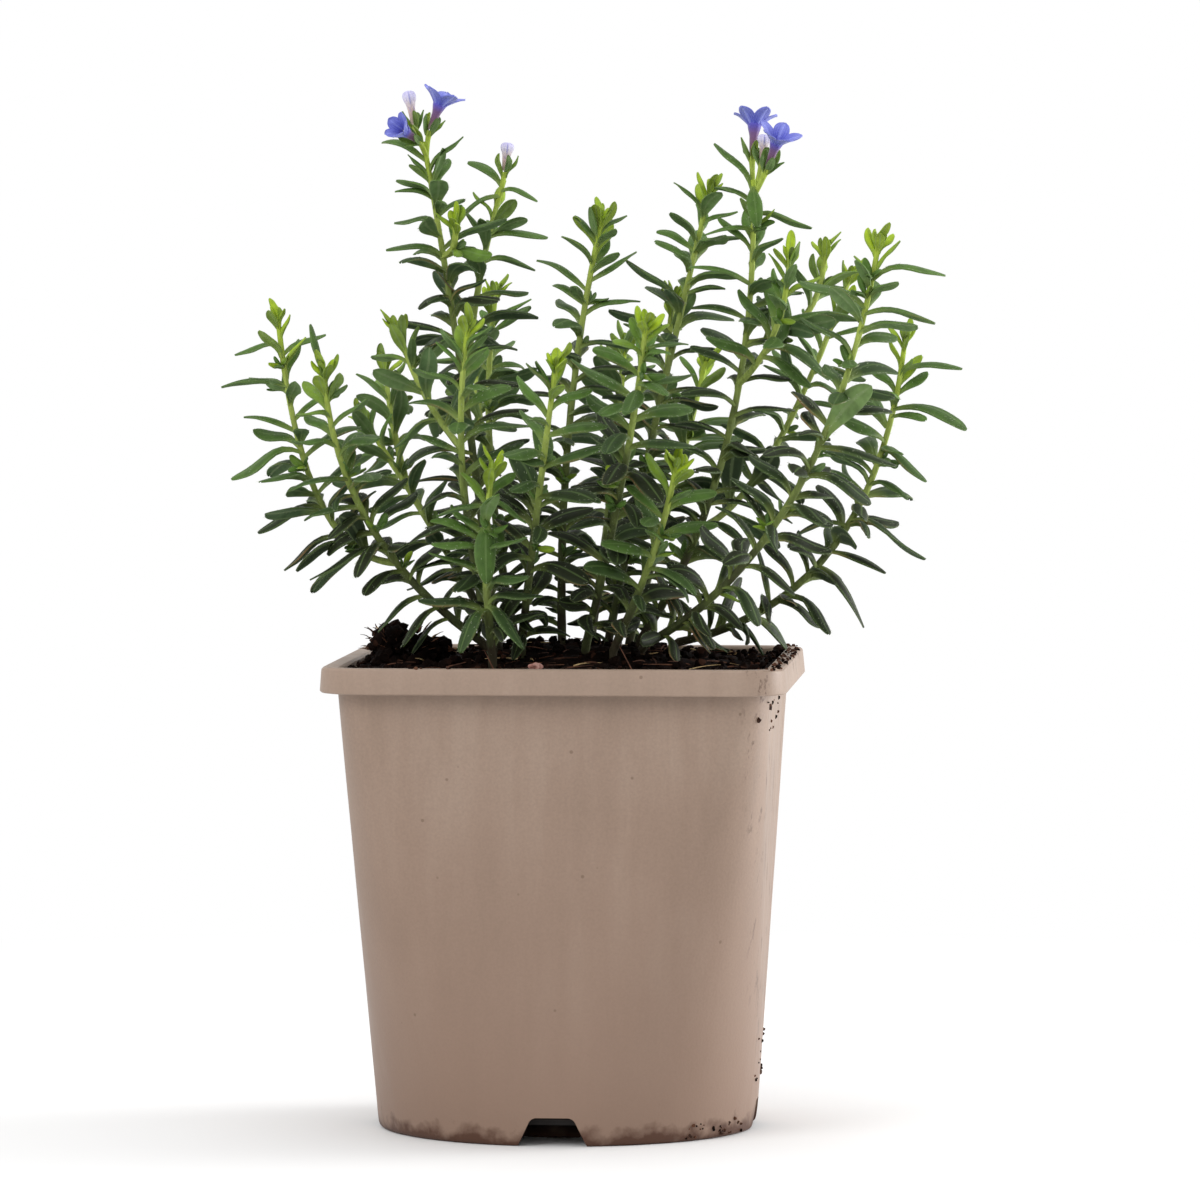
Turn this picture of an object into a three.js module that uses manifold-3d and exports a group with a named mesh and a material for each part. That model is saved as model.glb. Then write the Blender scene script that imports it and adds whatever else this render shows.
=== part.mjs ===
// A heavenly blue lithodora in its nursery pot, in mm: X to the right, Y to the back, Z up.
// The origin is the middle of the pot's underside. The pot's front faces -Y.
import * as THREE from 'three';
import { mergeVertices } from 'three/addons/utils/BufferGeometryUtils.js';
import Module from 'manifold-3d';

const wasm = await Module();
wasm.setup();

// Pot: half widths run from the middle to a flat side, and corners are their round radii.
const potHeight = 116;
const rimHalf = 56;
const rimDrop = 6.3;
const rimLip = 1.4;
const bodyTopHalf = 52.5;
const bodyTopCorner = 7;
const footRadius = 46.8;
const wall = 1.3;
const floorThick = 1.4;
const discRadius = 28;
const channelHeight = 4.5;
const wallFoot = 7.5;
const notch = { width: 16.8, top: 10.2, height: 7, corner: 1.2, depth: 20 };
const potSides = 24;
const cornerPull = 0.11;

// Soil: the crown mound in the middle and the crumbly clump on the left.
const gap = 0.3;
const soilLevel = 114.3;
const crown = { x: 2, y: 2, height: 5, width: 30 };
const clump = { x: -40.5, y: -7, z: 116.8, radius: 7.6, crumbs: 6 };
const crumb = { count: 4, smallest: 1.5, largest: 3 };

// Stems and leaves.
const rootDepth = 9;
const stem = { base: 1.3, tip: 0.75, sides: 4, step: 13 };
const blade = { longest: 17.5, shortest: 7, width: 0.255, thick: 0.95, steps: 3 };
const between = { tip: 2.3, old: 5.7, growAfter: 5 };
const goldenTurn = THREE.MathUtils.degToRad(137.508);

// Blooms.
const tube = { base: 0.8, mouth: 1.7, throat: 0.5 };
const lobe = { count: 5, length: 5.8, thick: 0.65, notch: 0.34 };
const sepal = { count: 5, length: 4.2, width: 1.1, reach: 2.6 };

const paints = {
  pot: { color: 0xa08c7d, roughness: 0.62, metalness: 0 },
  soil: { color: 0x2a1a12, roughness: 1, metalness: 0 },
  leaf: { color: 0x3d5b2c, roughness: 0.7, metalness: 0 },
  petal: { color: 0x5a64d7, roughness: 0.55, metalness: 0 },
  bud: { color: 0xd8cfc8, roughness: 0.6, metalness: 0 },
  bark: { color: 0x9a6a58, roughness: 0.9, metalness: 0 },
};

// Each stem's foot, knee and tip; side shoots leave their stem `at` a share of its length.
// `leaves` are the ones that stand out, each with its share of the shoot's length and its tip.
const stems = [
  {
    name: 'leafy_stem_left_low',
    foot: [-19, -8, 119],
    knee: [-46.5, -22, 149],
    tip: [-56.5, -34, 187],
    leaves: [
      { at: 0.41, tip: [-61.7, -25.6, 137] },
      { at: 0.97, tip: [-60, -33.4, 198.4] },
    ],
    sides: [
      {
        at: 0.36,
        knee: [-60, -14, 155],
        tip: [-69.7, -18, 199.7],
        leaves: [
          { at: 0.85, tip: [-83.5, -20.4, 183.1] },
          { at: 0.67, tip: [-82, -18.9, 161.5] },
          { at: 0.47, tip: [-75.4, -17.9, 148] },
          { at: 0.94, tip: [-80.9, -15.3, 191] },
          { at: 0.92, tip: [-58.5, -13, 195.7] },
        ],
      },
    ],
  },
  {
    name: 'leafy_stem_left_back',
    foot: [-18, 10, 119],
    knee: [-37.5, 20, 150],
    tip: [-54, 28, 174],
    sides: [{ at: 0.62, knee: [-46.5, 30, 172], tip: [-49, 36, 186.6] }],
  },
  {
    name: 'leafy_stem_left_flowering',
    foot: [-17.3, -2, 119],
    knee: [-25.5, -4, 183],
    tip: [-35.2, -4, 243],
    bare: 0.12,
    tipFree: 4,
    leaves: [
      { at: 0.76, tip: [-44.2, -8.2, 218.6] },
      { at: 0.94, tip: [-25, -7.1, 243.9] },
      { at: 0.88, tip: [-42, -7.2, 232.1] },
      { at: 0.67, tip: [-19.4, -9.2, 209.2] },
      { at: 0.68, tip: [-36.4, -9.2, 202.6] },
      { at: 0.96, tip: [-45.4, -1.1, 245] },
    ],
    sides: [
      { at: 0.76, knee: [-27.4, -8, 217.5], tip: [-26.9, -11, 223] },
      {
        at: 0.47,
        knee: [-22.6, 4, 206.5],
        tip: [-16.7, 10, 233.7],
        tipFree: 3,
        leaves: [
          { at: 0.93, tip: [-30.5, 6.2, 223.1] },
          { at: 0.97, tip: [-25.5, 13.7, 239.5] },
          { at: 0.95, tip: [-7.5, 7.5, 230] },
          { at: 0.74, tip: [-5.7, 10.2, 219.6] },
        ],
      },
    ],
  },
  {
    name: 'leafy_stem_left_front',
    foot: [-16.5, -20, 119],
    knee: [-23, -30, 160.5],
    tip: [-21.4, -34, 197.5],
    sides: [{ at: 0.6, knee: [-33.6, -20, 181.4], tip: [-40.6, -14, 197.2] }],
  },
  {
    name: 'leafy_stem_middle_left',
    foot: [-14.5, 18, 119],
    knee: [-21.7, 26, 165],
    tip: [-20.5, 30, 205.8],
    sides: [{ at: 0.48, knee: [-26, 42, 176], tip: [-28, 56, 190.5] }],
  },
  {
    name: 'leafy_stem_front_low',
    foot: [-15.5, -34, 118],
    knee: [-16.6, -39, 141.5],
    tip: [-14.8, -42, 163.3],
    bare: 0.2,
    leaves: [
      { at: 0.71, tip: [-15.8, -48, 137] },
      { at: 0.8, tip: [-27.9, -44.4, 151.8] },
      { at: 0.81, tip: [-5.6, -44.5, 151.9] },
      { at: 0.26, tip: [-6.6, -46, 121] },
      { at: 0.24, tip: [-23.5, -46, 121] },
    ],
  },
  {
    name: 'leafy_stem_front_middle',
    foot: [-10.2, -16, 119],
    knee: [-4.4, -36, 154],
    tip: [1.3, -50, 188.7],
    leaves: [{ at: 0.91, tip: [-5.9, -51, 189] }],
  },
  {
    name: 'leafy_stem_middle_tall',
    foot: [-1.6, 2, 119],
    knee: [0.4, 0, 173],
    tip: [8.7, -2, 224.3],
    bare: 0.14,
    leaves: [
      { at: 0.94, tip: [2, -1.8, 225] },
      { at: 0.95, tip: [14, 0.2, 226] },
    ],
  },
  {
    name: 'leafy_stem_front_bright',
    foot: [5.3, -12, 119],
    knee: [16.4, -34, 162.6],
    tip: [23.3, -55, 198.4],
    leaves: [{ at: 0.91, tip: [33.3, -53, 193.6] }],
  },
  {
    name: 'leafy_stem_middle_right',
    foot: [9.3, 7, 119],
    knee: [21.8, 8, 176.7],
    tip: [34.7, 8, 231.2],
    bare: 0.14,
    leaves: [
      { at: 0.94, tip: [26.5, 8.1, 234] },
      { at: 0.86, tip: [42, 11.2, 220] },
    ],
    sides: [{ at: 0.6, knee: [24.2, 15, 196.5], tip: [25.1, 19, 205] }],
  },
  {
    name: 'leafy_stem_back_middle',
    foot: [4, 22, 119],
    knee: [8, 44, 161],
    tip: [9.5, 60, 192.3],
  },
  {
    name: 'leafy_stem_back_right',
    foot: [13, 28, 118],
    knee: [22.4, 46, 153.5],
    tip: [30.4, 58, 188],
  },
  {
    name: 'leafy_stem_right_flowering',
    foot: [17, 4, 119],
    knee: [39.3, 2, 169.5],
    tip: [45.9, -2, 233.6],
    bare: 0.16,
    tipFree: 4,
    leaves: [
      { at: 0.98, tip: [37.1, -1, 243.5] },
      { at: 0.99, tip: [47.5, -9, 222.7] },
      { at: 0.94, tip: [60, 0.5, 221.3] },
      { at: 0.96, tip: [36.3, 2.3, 232.6] },
      { at: 0.91, tip: [33.6, -5.1, 220.8] },
    ],
    sides: [
      { at: 0.62, knee: [51.8, -10, 196.8], tip: [55.4, -14, 214.4] },
      { at: 0.7, knee: [57.7, 8, 199.5], tip: [62.9, 14, 216.4] },
      { at: 0.3, knee: [49.3, 22, 166], tip: [68.4, 30, 209.8] },
    ],
  },
  {
    name: 'leafy_stem_right_outer',
    foot: [19, -12, 119],
    knee: [57.5, -34, 157],
    tip: [78.3, -42, 218],
    leaves: [
      { at: 0.72, tip: [64.8, -47, 170.7] },
      { at: 0.94, tip: [94.5, -38, 213.3] },
      { at: 0.88, tip: [92.3, -44, 199.6] },
      { at: 0.89, tip: [59, -37, 208.4] },
    ],
  },
  {
    name: 'leafy_stem_right_low',
    foot: [24, 24, 118],
    knee: [64.5, 18, 142.3],
    tip: [83, 6, 194.7],
    leaves: [
      { at: 0.94, tip: [97, 9.6, 187] },
      { at: 0.86, tip: [99.3, 6.2, 174.7] },
      { at: 0.77, tip: [88.6, 9.5, 159.5] },
      { at: 0.66, tip: [60.8, 17.2, 163.2] },
      { at: 0.57, tip: [54.1, 12.3, 147.2] },
      { at: 0.59, tip: [87.3, 11.8, 139.1] },
      { at: 0.44, tip: [73.6, 13.4, 123.5] },
    ],
  },
  {
    name: 'leafy_stem_front_right',
    foot: [13, -22, 119],
    knee: [23.7, -32, 143.7],
    tip: [29.4, -40, 164.3],
  },
];

// Blooms: each stands on the shoot named by its stem and side shoot, from its base to its mouth or bud top.
const blooms = [
  { name: 'flower_left_open', on: [2], base: [-33.6, -4, 246], top: [-31.2, -4, 252.4], open: 1 },
  { name: 'flower_left_half_open', on: [2], base: [-36.6, -7.6, 243.4], top: [-39.4, -11, 245.6], open: 0.45 },
  { name: 'bud_left', on: [2], base: [-37.9, -1, 247.2], top: [-39.4, -1, 255.6], open: 0 },
  { name: 'bud_middle', on: [2, 1], base: [-16.5, 10, 236], top: [-15.7, 10, 243], open: 0 },
  { name: 'flower_right_upper', on: [12], base: [45.4, 2.6, 239.5], top: [45.8, 5, 247.4], open: 1 },
  { name: 'flower_right_lower', on: [12], base: [49.6, -5, 236.6], top: [52, -7.6, 243], open: 1 },
  { name: 'bud_right', on: [12], base: [48, -0.6, 238.4], top: [48.6, -0.6, 244.8], open: 0 },
];

const up = new THREE.Vector3(0, 0, 1);
const clamp01 = (x) => Math.min(1, Math.max(0, x));
const mix = THREE.MathUtils.lerp;

function smooth(x) {
  const share = clamp01(x);
  return share * share * (3 - 2 * share);
}

/** A repeatable draw of numbers from 0 to 1. */
function dice(seed) {
  let state = 7919 * (seed + 1);
  return () => {
    state = (state * 16807) % 2147483647;
    return state / 2147483647;
  };
}

/** A closed geometry as a solid that can be joined and cut. */
function solidFrom(geometry) {
  geometry.deleteAttribute('normal');
  geometry.deleteAttribute('uv');
  const merged = mergeVertices(geometry, 1e-4);
  const corners = merged.index.array;
  const triVerts = [];
  for (let i = 0; i < corners.length; i += 3) {
    const [a, b, c] = corners.slice(i, i + 3);
    if (a !== b && b !== c && c !== a) triVerts.push(a, b, c);
  }
  return new wasm.Manifold(new wasm.Mesh({
    numProp: 3,
    vertProperties: merged.attributes.position.array,
    triVerts: new Uint32Array(triVerts),
  }));
}

function meshFrom(name, solid, paint) {
  const { vertProperties, triVerts } = solid.getMesh();
  const geometry = new THREE.BufferGeometry();
  geometry.setAttribute('position', new THREE.BufferAttribute(vertProperties, 3));
  geometry.setIndex(new THREE.BufferAttribute(triVerts, 1));
  geometry.computeVertexNormals();
  const mesh = new THREE.Mesh(geometry, new THREE.MeshStandardMaterial(paint));
  mesh.name = name;
  return mesh;
}

/** Moves each vertex of an upright unit cylinder, cone or lathe to place(across, over, along). */
function reshape(geometry, place) {
  const spots = geometry.attributes.position;
  for (let i = 0; i < spots.count; i += 1) {
    const spot = place(spots.getX(i), spots.getZ(i), spots.getY(i));
    spots.setXYZ(i, spot.x, spot.y, spot.z);
  }
  return geometry;
}

// The pot.

/** Distance from the axis to a rounded square of this half width and corner radius. */
function roundedSquare(angle, half, corner) {
  const eighth = Math.abs(angle - Math.round(angle / (Math.PI / 2)) * (Math.PI / 2));
  const core = half - corner;
  if (half * Math.tan(eighth) <= core) return half / Math.cos(eighth);
  const sum = Math.cos(eighth) + Math.sin(eighth);
  const difference = Math.cos(eighth) - Math.sin(eighth);
  return core * sum + Math.sqrt(Math.max(0, corner ** 2 - (core * difference) ** 2));
}

function bodyHalf(height) {
  return mix(footRadius, bodyTopHalf, height / potHeight);
}

/** Turns a profile of [half width, height] into the pot's plan, round at the foot and square at the rim. */
function potShape(profile) {
  const points = profile.map(([half, height]) => new THREE.Vector2(half, height));
  return reshape(new THREE.LatheGeometry(points, potSides), (x, z, height) => {
    const half = Math.hypot(x, z);
    if (half < 1e-6) return new THREE.Vector3(0, 0, height);
    const share = clamp01(height / potHeight);
    const turn = Math.atan2(x, z);
    const angle = turn + cornerPull * Math.sin(4 * turn);
    const bodyCorner = mix(footRadius, bodyTopCorner, share);
    const corner = Math.max(1, Math.min(half, bodyCorner + half - bodyHalf(height)));
    const radius = roundedSquare(angle, half, corner);
    return new THREE.Vector3(radius * Math.sin(angle), -radius * Math.cos(angle), height);
  });
}

/** The wall's points up to the soil, set in from the pot's outer face. */
function wallRun(inset) {
  const steps = 4;
  return Array.from({ length: steps + 1 }, (_, i) => {
    const height = mix(wallFoot, soilLevel, i / steps);
    return [bodyHalf(height) - inset, height];
  });
}

function notchSolid(turn) {
  const half = notch.width / 2;
  const topHalf = notch.top / 2;
  const outline = new THREE.Shape();
  outline.moveTo(-half - 0.5, -1);
  outline.lineTo(half + 0.5, -1);
  outline.lineTo(topHalf + 0.4, notch.height - notch.corner);
  outline.quadraticCurveTo(topHalf, notch.height, topHalf - notch.corner, notch.height);
  outline.lineTo(notch.corner - topHalf, notch.height);
  outline.quadraticCurveTo(-topHalf, notch.height, -topHalf - 0.4, notch.height - notch.corner);
  const prism = new THREE.ExtrudeGeometry(outline, {
    depth: notch.depth,
    bevelEnabled: false,
    curveSegments: 2,
  });
  prism.rotateX(Math.PI / 2);
  prism.translate(0, -footRadius + notch.depth / 3, 0);
  prism.rotateZ(turn);
  return solidFrom(prism);
}

function potSolid() {
  const skirtFoot = potHeight - rimDrop;
  const underLip = potHeight - rimLip;
  const outside = [
    [0, 0],
    [discRadius, 0],
    [discRadius + 1.5, channelHeight],
    [41.5, channelHeight],
    [42.5, 0],
    [footRadius - 0.9, 0],
    [bodyHalf(0.9), 0.9],
    ...wallRun(0),
    [bodyHalf(underLip), underLip],
    [rimHalf - rimLip + 0.3, underLip],
    [rimHalf - rimLip + 0.5, skirtFoot],
    [rimHalf + 0.5, skirtFoot],
    [rimHalf, potHeight - 0.6],
    [rimHalf - 0.6, potHeight],
    [0, potHeight],
  ];
  const inside = [
    [0, floorThick],
    [discRadius - 1.4, floorThick],
    [discRadius + 0.1, channelHeight + floorThick],
    [43, channelHeight + floorThick],
    ...wallRun(wall),
    [bodyTopHalf - wall, potHeight - 0.6],
    [bodyTopHalf - wall + 0.8, potHeight + 0.2],
    [0, potHeight + 0.2],
  ];
  let pot = solidFrom(potShape(outside)).subtract(solidFrom(potShape(inside)));
  for (let quarter = 0; quarter < 4; quarter += 1) {
    pot = pot.subtract(notchSolid(quarter * Math.PI / 2));
  }
  return pot;
}

// Stems and leaves.

const vector = (spot) => new THREE.Vector3(...spot);

/** A shoot from its foot through its knee to its tip, with its own numbers for leaf placing. */
function makeShoot(foot, plan, seed, root) {
  const knee = vector(plan.knee);
  const tip = vector(plan.tip);
  const bend = knee.clone().multiplyScalar(2).addScaledVector(foot, -0.5).addScaledVector(tip, -0.5);
  return {
    curve: new THREE.QuadraticBezierCurve3(foot, bend, tip),
    length: foot.distanceTo(knee) + knee.distanceTo(tip),
    bare: plan.bare ?? (root ? 0.18 : 0.14),
    tipFree: plan.tipFree ?? 0.6,
    thick: root ? stem.base : stem.base * 0.8,
    marked: plan.leaves ?? [],
    root,
    seed,
  };
}

/** Main shoot first, then its side shoots. */
function shootsOf(plan, index) {
  const foot = vector(plan.foot);
  const root = foot.clone().setZ(foot.z - rootDepth);
  const main = makeShoot(foot, plan, 10 * index, root);
  const sides = (plan.sides ?? []).map((side, i) => (
    makeShoot(main.curve.getPoint(side.at), side, 10 * index + i + 1, null)
  ));
  return [main, ...sides];
}

function shootRadius(shoot, t) {
  return mix(shoot.thick, stem.tip, t);
}

/** The shoot's direction at t, and two directions square to it. */
function shootFrame(shoot, t) {
  const along = shoot.curve.getTangent(t);
  const across = along.clone().cross(new THREE.Vector3(0, 1, 0)).normalize();
  return { along, across, over: across.clone().cross(along) };
}

function shootSolid(shoot, grow = 0) {
  const steps = Math.max(2, Math.round(shoot.length / stem.step));
  const first = shoot.root ? 1 / steps : 0;
  const tubeShape = new THREE.CylinderGeometry(1, 1, 1, stem.sides, steps);
  return solidFrom(reshape(tubeShape, (x, z, y) => {
    const share = y + 0.5;
    const t = clamp01((share - first) / (1 - first));
    const frame = shootFrame(shoot, t);
    const centre = shoot.root && share < first / 2
      ? shoot.root.clone().addScaledVector(up, -grow)
      : shoot.curve.getPoint(t);
    const radius = shootRadius(shoot, t) + grow;
    return centre.addScaledVector(frame.across, x * radius).addScaledVector(frame.over, z * radius);
  }));
}

/** A blade along a curve; its upper face looks along side x tangent. */
function makeBlade(base, bend, tip, side, width, thick = blade.thick) {
  return { curve: new THREE.QuadraticBezierCurve3(base, bend, tip), side, width, thick };
}

function bladeWidth(share) {
  return (0.1 + 0.9 * Math.sin(Math.PI * share ** 1.1)) * Math.sqrt(1 - share ** 6);
}

/** Three-sided blade: flat below, with a ridge above, ending in a point. */
function bladeSolid(leaf, from = 0, grow = 0, steps = blade.steps) {
  return solidFrom(reshape(new THREE.ConeGeometry(1, 1, 3, steps), (x, z, y) => {
    const share = mix(from, 1, y + 0.5);
    const size = Math.hypot(x, z) || 1;
    const tangent = leaf.curve.getTangent(share);
    const over = leaf.side.clone().cross(tangent).normalize();
    const across = (x / size) * (bladeWidth(share) * leaf.width + grow) * 0.5 / 0.866;
    const thick = leaf.thick * mix(0.4, 1, clamp01(3 * share));
    const rise = ((z / size + 0.5) / 1.5) * (thick + 2 * grow) - grow;
    return leaf.curve.getPoint(share).addScaledVector(leaf.side, across).addScaledVector(over, rise);
  }));
}

/** Where the leaves of a shoot stand, from its tip down, each with four draws. */
function leafSpots(shoot) {
  const draw = dice(shoot.seed);
  const spots = [];
  let back = shoot.tipFree;
  for (let rank = 0; back < shoot.length * (1 - shoot.bare); rank += 1) {
    spots.push({ rank, t: 1 - back / shoot.length, draws: [draw(), draw(), draw(), draw()] });
    back += mix(between.tip, between.old, clamp01(rank / between.growAfter));
  }
  return spots;
}

/** A leaf of the spiral: young ones stand up at the tip, old ones spread and arch over. */
function spiralLeaf(shoot, { rank, t, draws }, turn, scale) {
  const { along, across, over } = shootFrame(shoot, t);
  const angle = shoot.seed + rank * goldenTurn + 0.4 * (draws[0] - 0.5) + turn;
  const out = across.clone().multiplyScalar(Math.cos(angle)).addScaledVector(over, Math.sin(angle));
  const lean = mix(0.25, 1.02, smooth(rank / 6)) + 0.3 * (draws[1] - 0.5);
  const length = scale * mix(blade.shortest, blade.longest, smooth(rank / 7)) * (0.86 + 0.28 * draws[2]);
  const droop = mix(-0.1, 0.7, smooth(rank / 10)) + 0.4 * (draws[3] - 0.5);
  const start = along.clone().multiplyScalar(Math.cos(lean)).addScaledVector(out, Math.sin(lean));
  const end = start.clone().addScaledVector(out, 0.35).addScaledVector(up, -droop).normalize();
  const base = shoot.curve.getPoint(t).addScaledVector(out, 0.2 * shootRadius(shoot, t));
  const bend = base.clone().addScaledVector(start, 0.5 * length);
  const tip = bend.clone().addScaledVector(end, 0.5 * length);
  return makeBlade(base, bend, tip, out.cross(along).normalize(), blade.width * length);
}

/** A leaf that the photo shows clearly, given by its tip: it rises, then arches down to it. */
function markedLeaf(shoot, { at, tip }) {
  const base = shoot.curve.getPoint(at);
  const end = vector(tip);
  const length = base.distanceTo(end);
  const bend = base.clone().lerp(end, 0.45).addScaledVector(up, 0.16 * length);
  const side = end.clone().sub(base).cross(up).normalize();
  return makeBlade(base, bend, end, side, blade.width * Math.max(length, 12));
}

// Blooms.

/** The bloom's own directions: along its tube and square to it. */
function bloomFrame(bloom) {
  const base = vector(bloom.base);
  const top = vector(bloom.top);
  const along = top.clone().sub(base).normalize();
  const across = along.clone().cross(new THREE.Vector3(0, 1, 0)).normalize();
  return { base, top, along, across, over: across.clone().cross(along), length: base.distanceTo(top) };
}

function inFrame({ base, along, across, over }, x, z, height) {
  return base.clone().addScaledVector(along, height).addScaledVector(across, x).addScaledVector(over, z);
}

function outFrom({ across, over }, angle) {
  return across.clone().multiplyScalar(Math.cos(angle)).addScaledVector(over, Math.sin(angle));
}

/** A closed bud: a slim tube with a swollen head. */
function budSolid(frame) {
  const profile = [[0, 0], [0.75, 0], [0.85, 0.35], [1.15, 0.62], [1.6, 0.8], [1.35, 0.94], [0, 1]];
  const points = profile.map(([radius, share]) => new THREE.Vector2(radius, share * frame.length));
  return solidFrom(reshape(new THREE.LatheGeometry(points, 8), (x, z, height) => inFrame(frame, x, z, height)));
}

/** An open bloom: a tube with a hollow throat, whose brim runs out into five round lobes. */
function openBloomSolid(frame, open) {
  const lean = mix(0.12, 0.95, open);
  const reach = lobe.length * mix(0.65, 1, open);
  const mouth = new THREE.Vector2(tube.mouth, frame.length);
  const outward = new THREE.Vector2(Math.sin(lean), Math.cos(lean));
  const inward = new THREE.Vector2(-outward.y, outward.x);
  const brim = (share, side) => mouth.clone()
    .addScaledVector(outward, share * reach)
    .addScaledVector(inward, side * lobe.thick);
  const points = [
    new THREE.Vector2(0, 0),
    new THREE.Vector2(tube.base, 0),
    new THREE.Vector2(1.1 * tube.base, 0.5 * frame.length),
    mouth,
    brim(1, 0),
    brim(1, 1),
    brim(0, 1),
    new THREE.Vector2(0.35, tube.throat * frame.length),
    new THREE.Vector2(0, tube.throat * frame.length),
  ];
  return solidFrom(reshape(new THREE.LatheGeometry(points, 3 * lobe.count), (x, z, height) => {
    const turn = Math.atan2(x, z);
    const spot = new THREE.Vector2(Math.hypot(x, z), height).sub(mouth);
    const out = Math.max(0, spot.dot(outward));
    const round = Math.abs(Math.cos(0.5 * lobe.count * turn)) ** 0.6;
    spot.addScaledVector(outward, out * (mix(lobe.notch, 1, round) - 1)).add(mouth);
    return inFrame(frame, spot.x * Math.sin(turn), spot.x * Math.cos(turn), spot.y);
  }));
}

function corollaSolid(bloom) {
  const frame = bloomFrame(bloom);
  return bloom.open > 0 ? openBloomSolid(frame, bloom.open) : budSolid(frame);
}

/** The green stalk and the sepals under a bloom; they stay clear of its tube. */
function calyxSolids(bloom, shoot) {
  const frame = bloomFrame(bloom);
  const from = shoot.curve.getPoint(0.97);
  const to = frame.base.clone().addScaledVector(frame.along, -gap);
  const stalk = {
    curve: new THREE.QuadraticBezierCurve3(from, to.clone().addScaledVector(frame.along, -1.6), to),
    length: 0,
    thick: stem.tip,
    root: null,
  };
  const solids = [shootSolid(stalk)];
  for (let i = 0; i < sepal.count; i += 1) {
    const out = outFrom(frame, (2 * Math.PI * (i + 0.5)) / sepal.count);
    const base = to.clone().addScaledVector(frame.along, -1.3).addScaledVector(out, 0.1);
    const bend = base.clone().addScaledVector(frame.along, 0.45 * sepal.length).addScaledVector(out, 1.8);
    const tip = base.clone().addScaledVector(frame.along, sepal.length).addScaledVector(out, sepal.reach);
    const side = out.clone().cross(frame.along).normalize();
    solids.push(bladeSolid(makeBlade(base, bend, tip, side, sepal.width, 0.6), 0, 0, 2));
  }
  return solids;
}

// The soil.

function soilHeight(x, y) {
  const heap = crown.height * Math.exp(-((x - crown.x) ** 2 + (y - crown.y) ** 2) / crown.width ** 2);
  return soilLevel + heap + 0.5 * Math.sin(0.37 * x + 1) * Math.cos(0.31 * y);
}

function lumpSolid(radius, spot, turn) {
  const lump = new THREE.IcosahedronGeometry(radius, radius > crumb.largest ? 1 : 0);
  lump.rotateX(turn);
  lump.translate(spot.x, spot.y, spot.z);
  return solidFrom(lump);
}

/** Loose crumbs sunk in the soil, and a clump of them by the left side of the rim. */
function crumbSolids() {
  const draw = dice(5);
  const middle = new THREE.Vector3(clump.x, clump.y, clump.z);
  const lumps = [lumpSolid(clump.radius, middle, 0)];
  for (let i = 0; i < clump.crumbs + crumb.count; i += 1) {
    const angle = 2 * Math.PI * draw();
    const radius = mix(crumb.smallest, crumb.largest, draw());
    const lift = draw();
    const spot = new THREE.Vector3(Math.cos(angle), Math.sin(angle), lift).normalize();
    if (i < clump.crumbs) {
      spot.multiplyScalar(0.95 * clump.radius).add(middle);
    } else {
      spot.multiplyScalar(mix(12, 44, lift)).setZ(0);
      spot.z = soilHeight(spot.x, spot.y) - 0.3 * radius;
    }
    lumps.push(lumpSolid(radius, spot, angle));
  }
  return lumps;
}

function soilSolid(shoots) {
  const floor = channelHeight + floorThick + gap;
  const edge = bodyHalf(soilLevel) - wall - gap;
  const profile = [
    [0, floorThick + gap],
    [discRadius - 1.9, floorThick + gap],
    [discRadius - 0.4, floor],
    [42.4, floor],
    ...wallRun(wall + gap),
    ...[0.82, 0.6, 0.32, 0].map((share) => [edge * share, soilLevel + 0.1]),
  ];
  const bulk = reshape(potShape(profile), (x, z, y) => {
    const height = z > soilLevel ? soilHeight(x, y) : z;
    return new THREE.Vector3(x, y, height);
  });
  let soil = solidFrom(bulk);
  for (const lump of crumbSolids()) soil = soil.add(lump);
  for (const shoot of shoots) soil = soil.subtract(shootSolid(shoot, gap));
  return soil;
}

function barkSolid() {
  const x = -3.8;
  const y = -46;
  const chip = new THREE.CylinderGeometry(1.5, 1.9, 0.9, 6, 1);
  chip.scale(1, 1, 0.55);
  chip.rotateX(Math.PI / 2);
  chip.rotateZ(0.35);
  chip.translate(x, y, soilHeight(x, y) + 1.4);
  return solidFrom(chip);
}

// The whole plant: leaves that would cross what stands already are turned, shortened or left out.

const stemShoots = stems.map((plan, index) => shootsOf(plan, index));
const pot = potSolid();
const soil = soilSolid(stemShoots.map((shoots) => shoots[0]));
const turns = [0, 0.45, -0.45, 0.9, -0.9, 1.4, -1.4];
const scales = [1, 0.75];

function obstacle(solid, shoot) {
  const { min, max } = solid.boundingBox();
  return { solid, shoot, box: new THREE.Box3(vector(min), vector(max)) };
}

function isClear(reach, obstacles, shoot) {
  const { box, solid } = obstacle(reach, shoot);
  return obstacles.every((other) => (
    other.shoot === shoot || !box.intersectsBox(other.box) || solid.intersect(other.solid).isEmpty()
  ));
}

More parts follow.
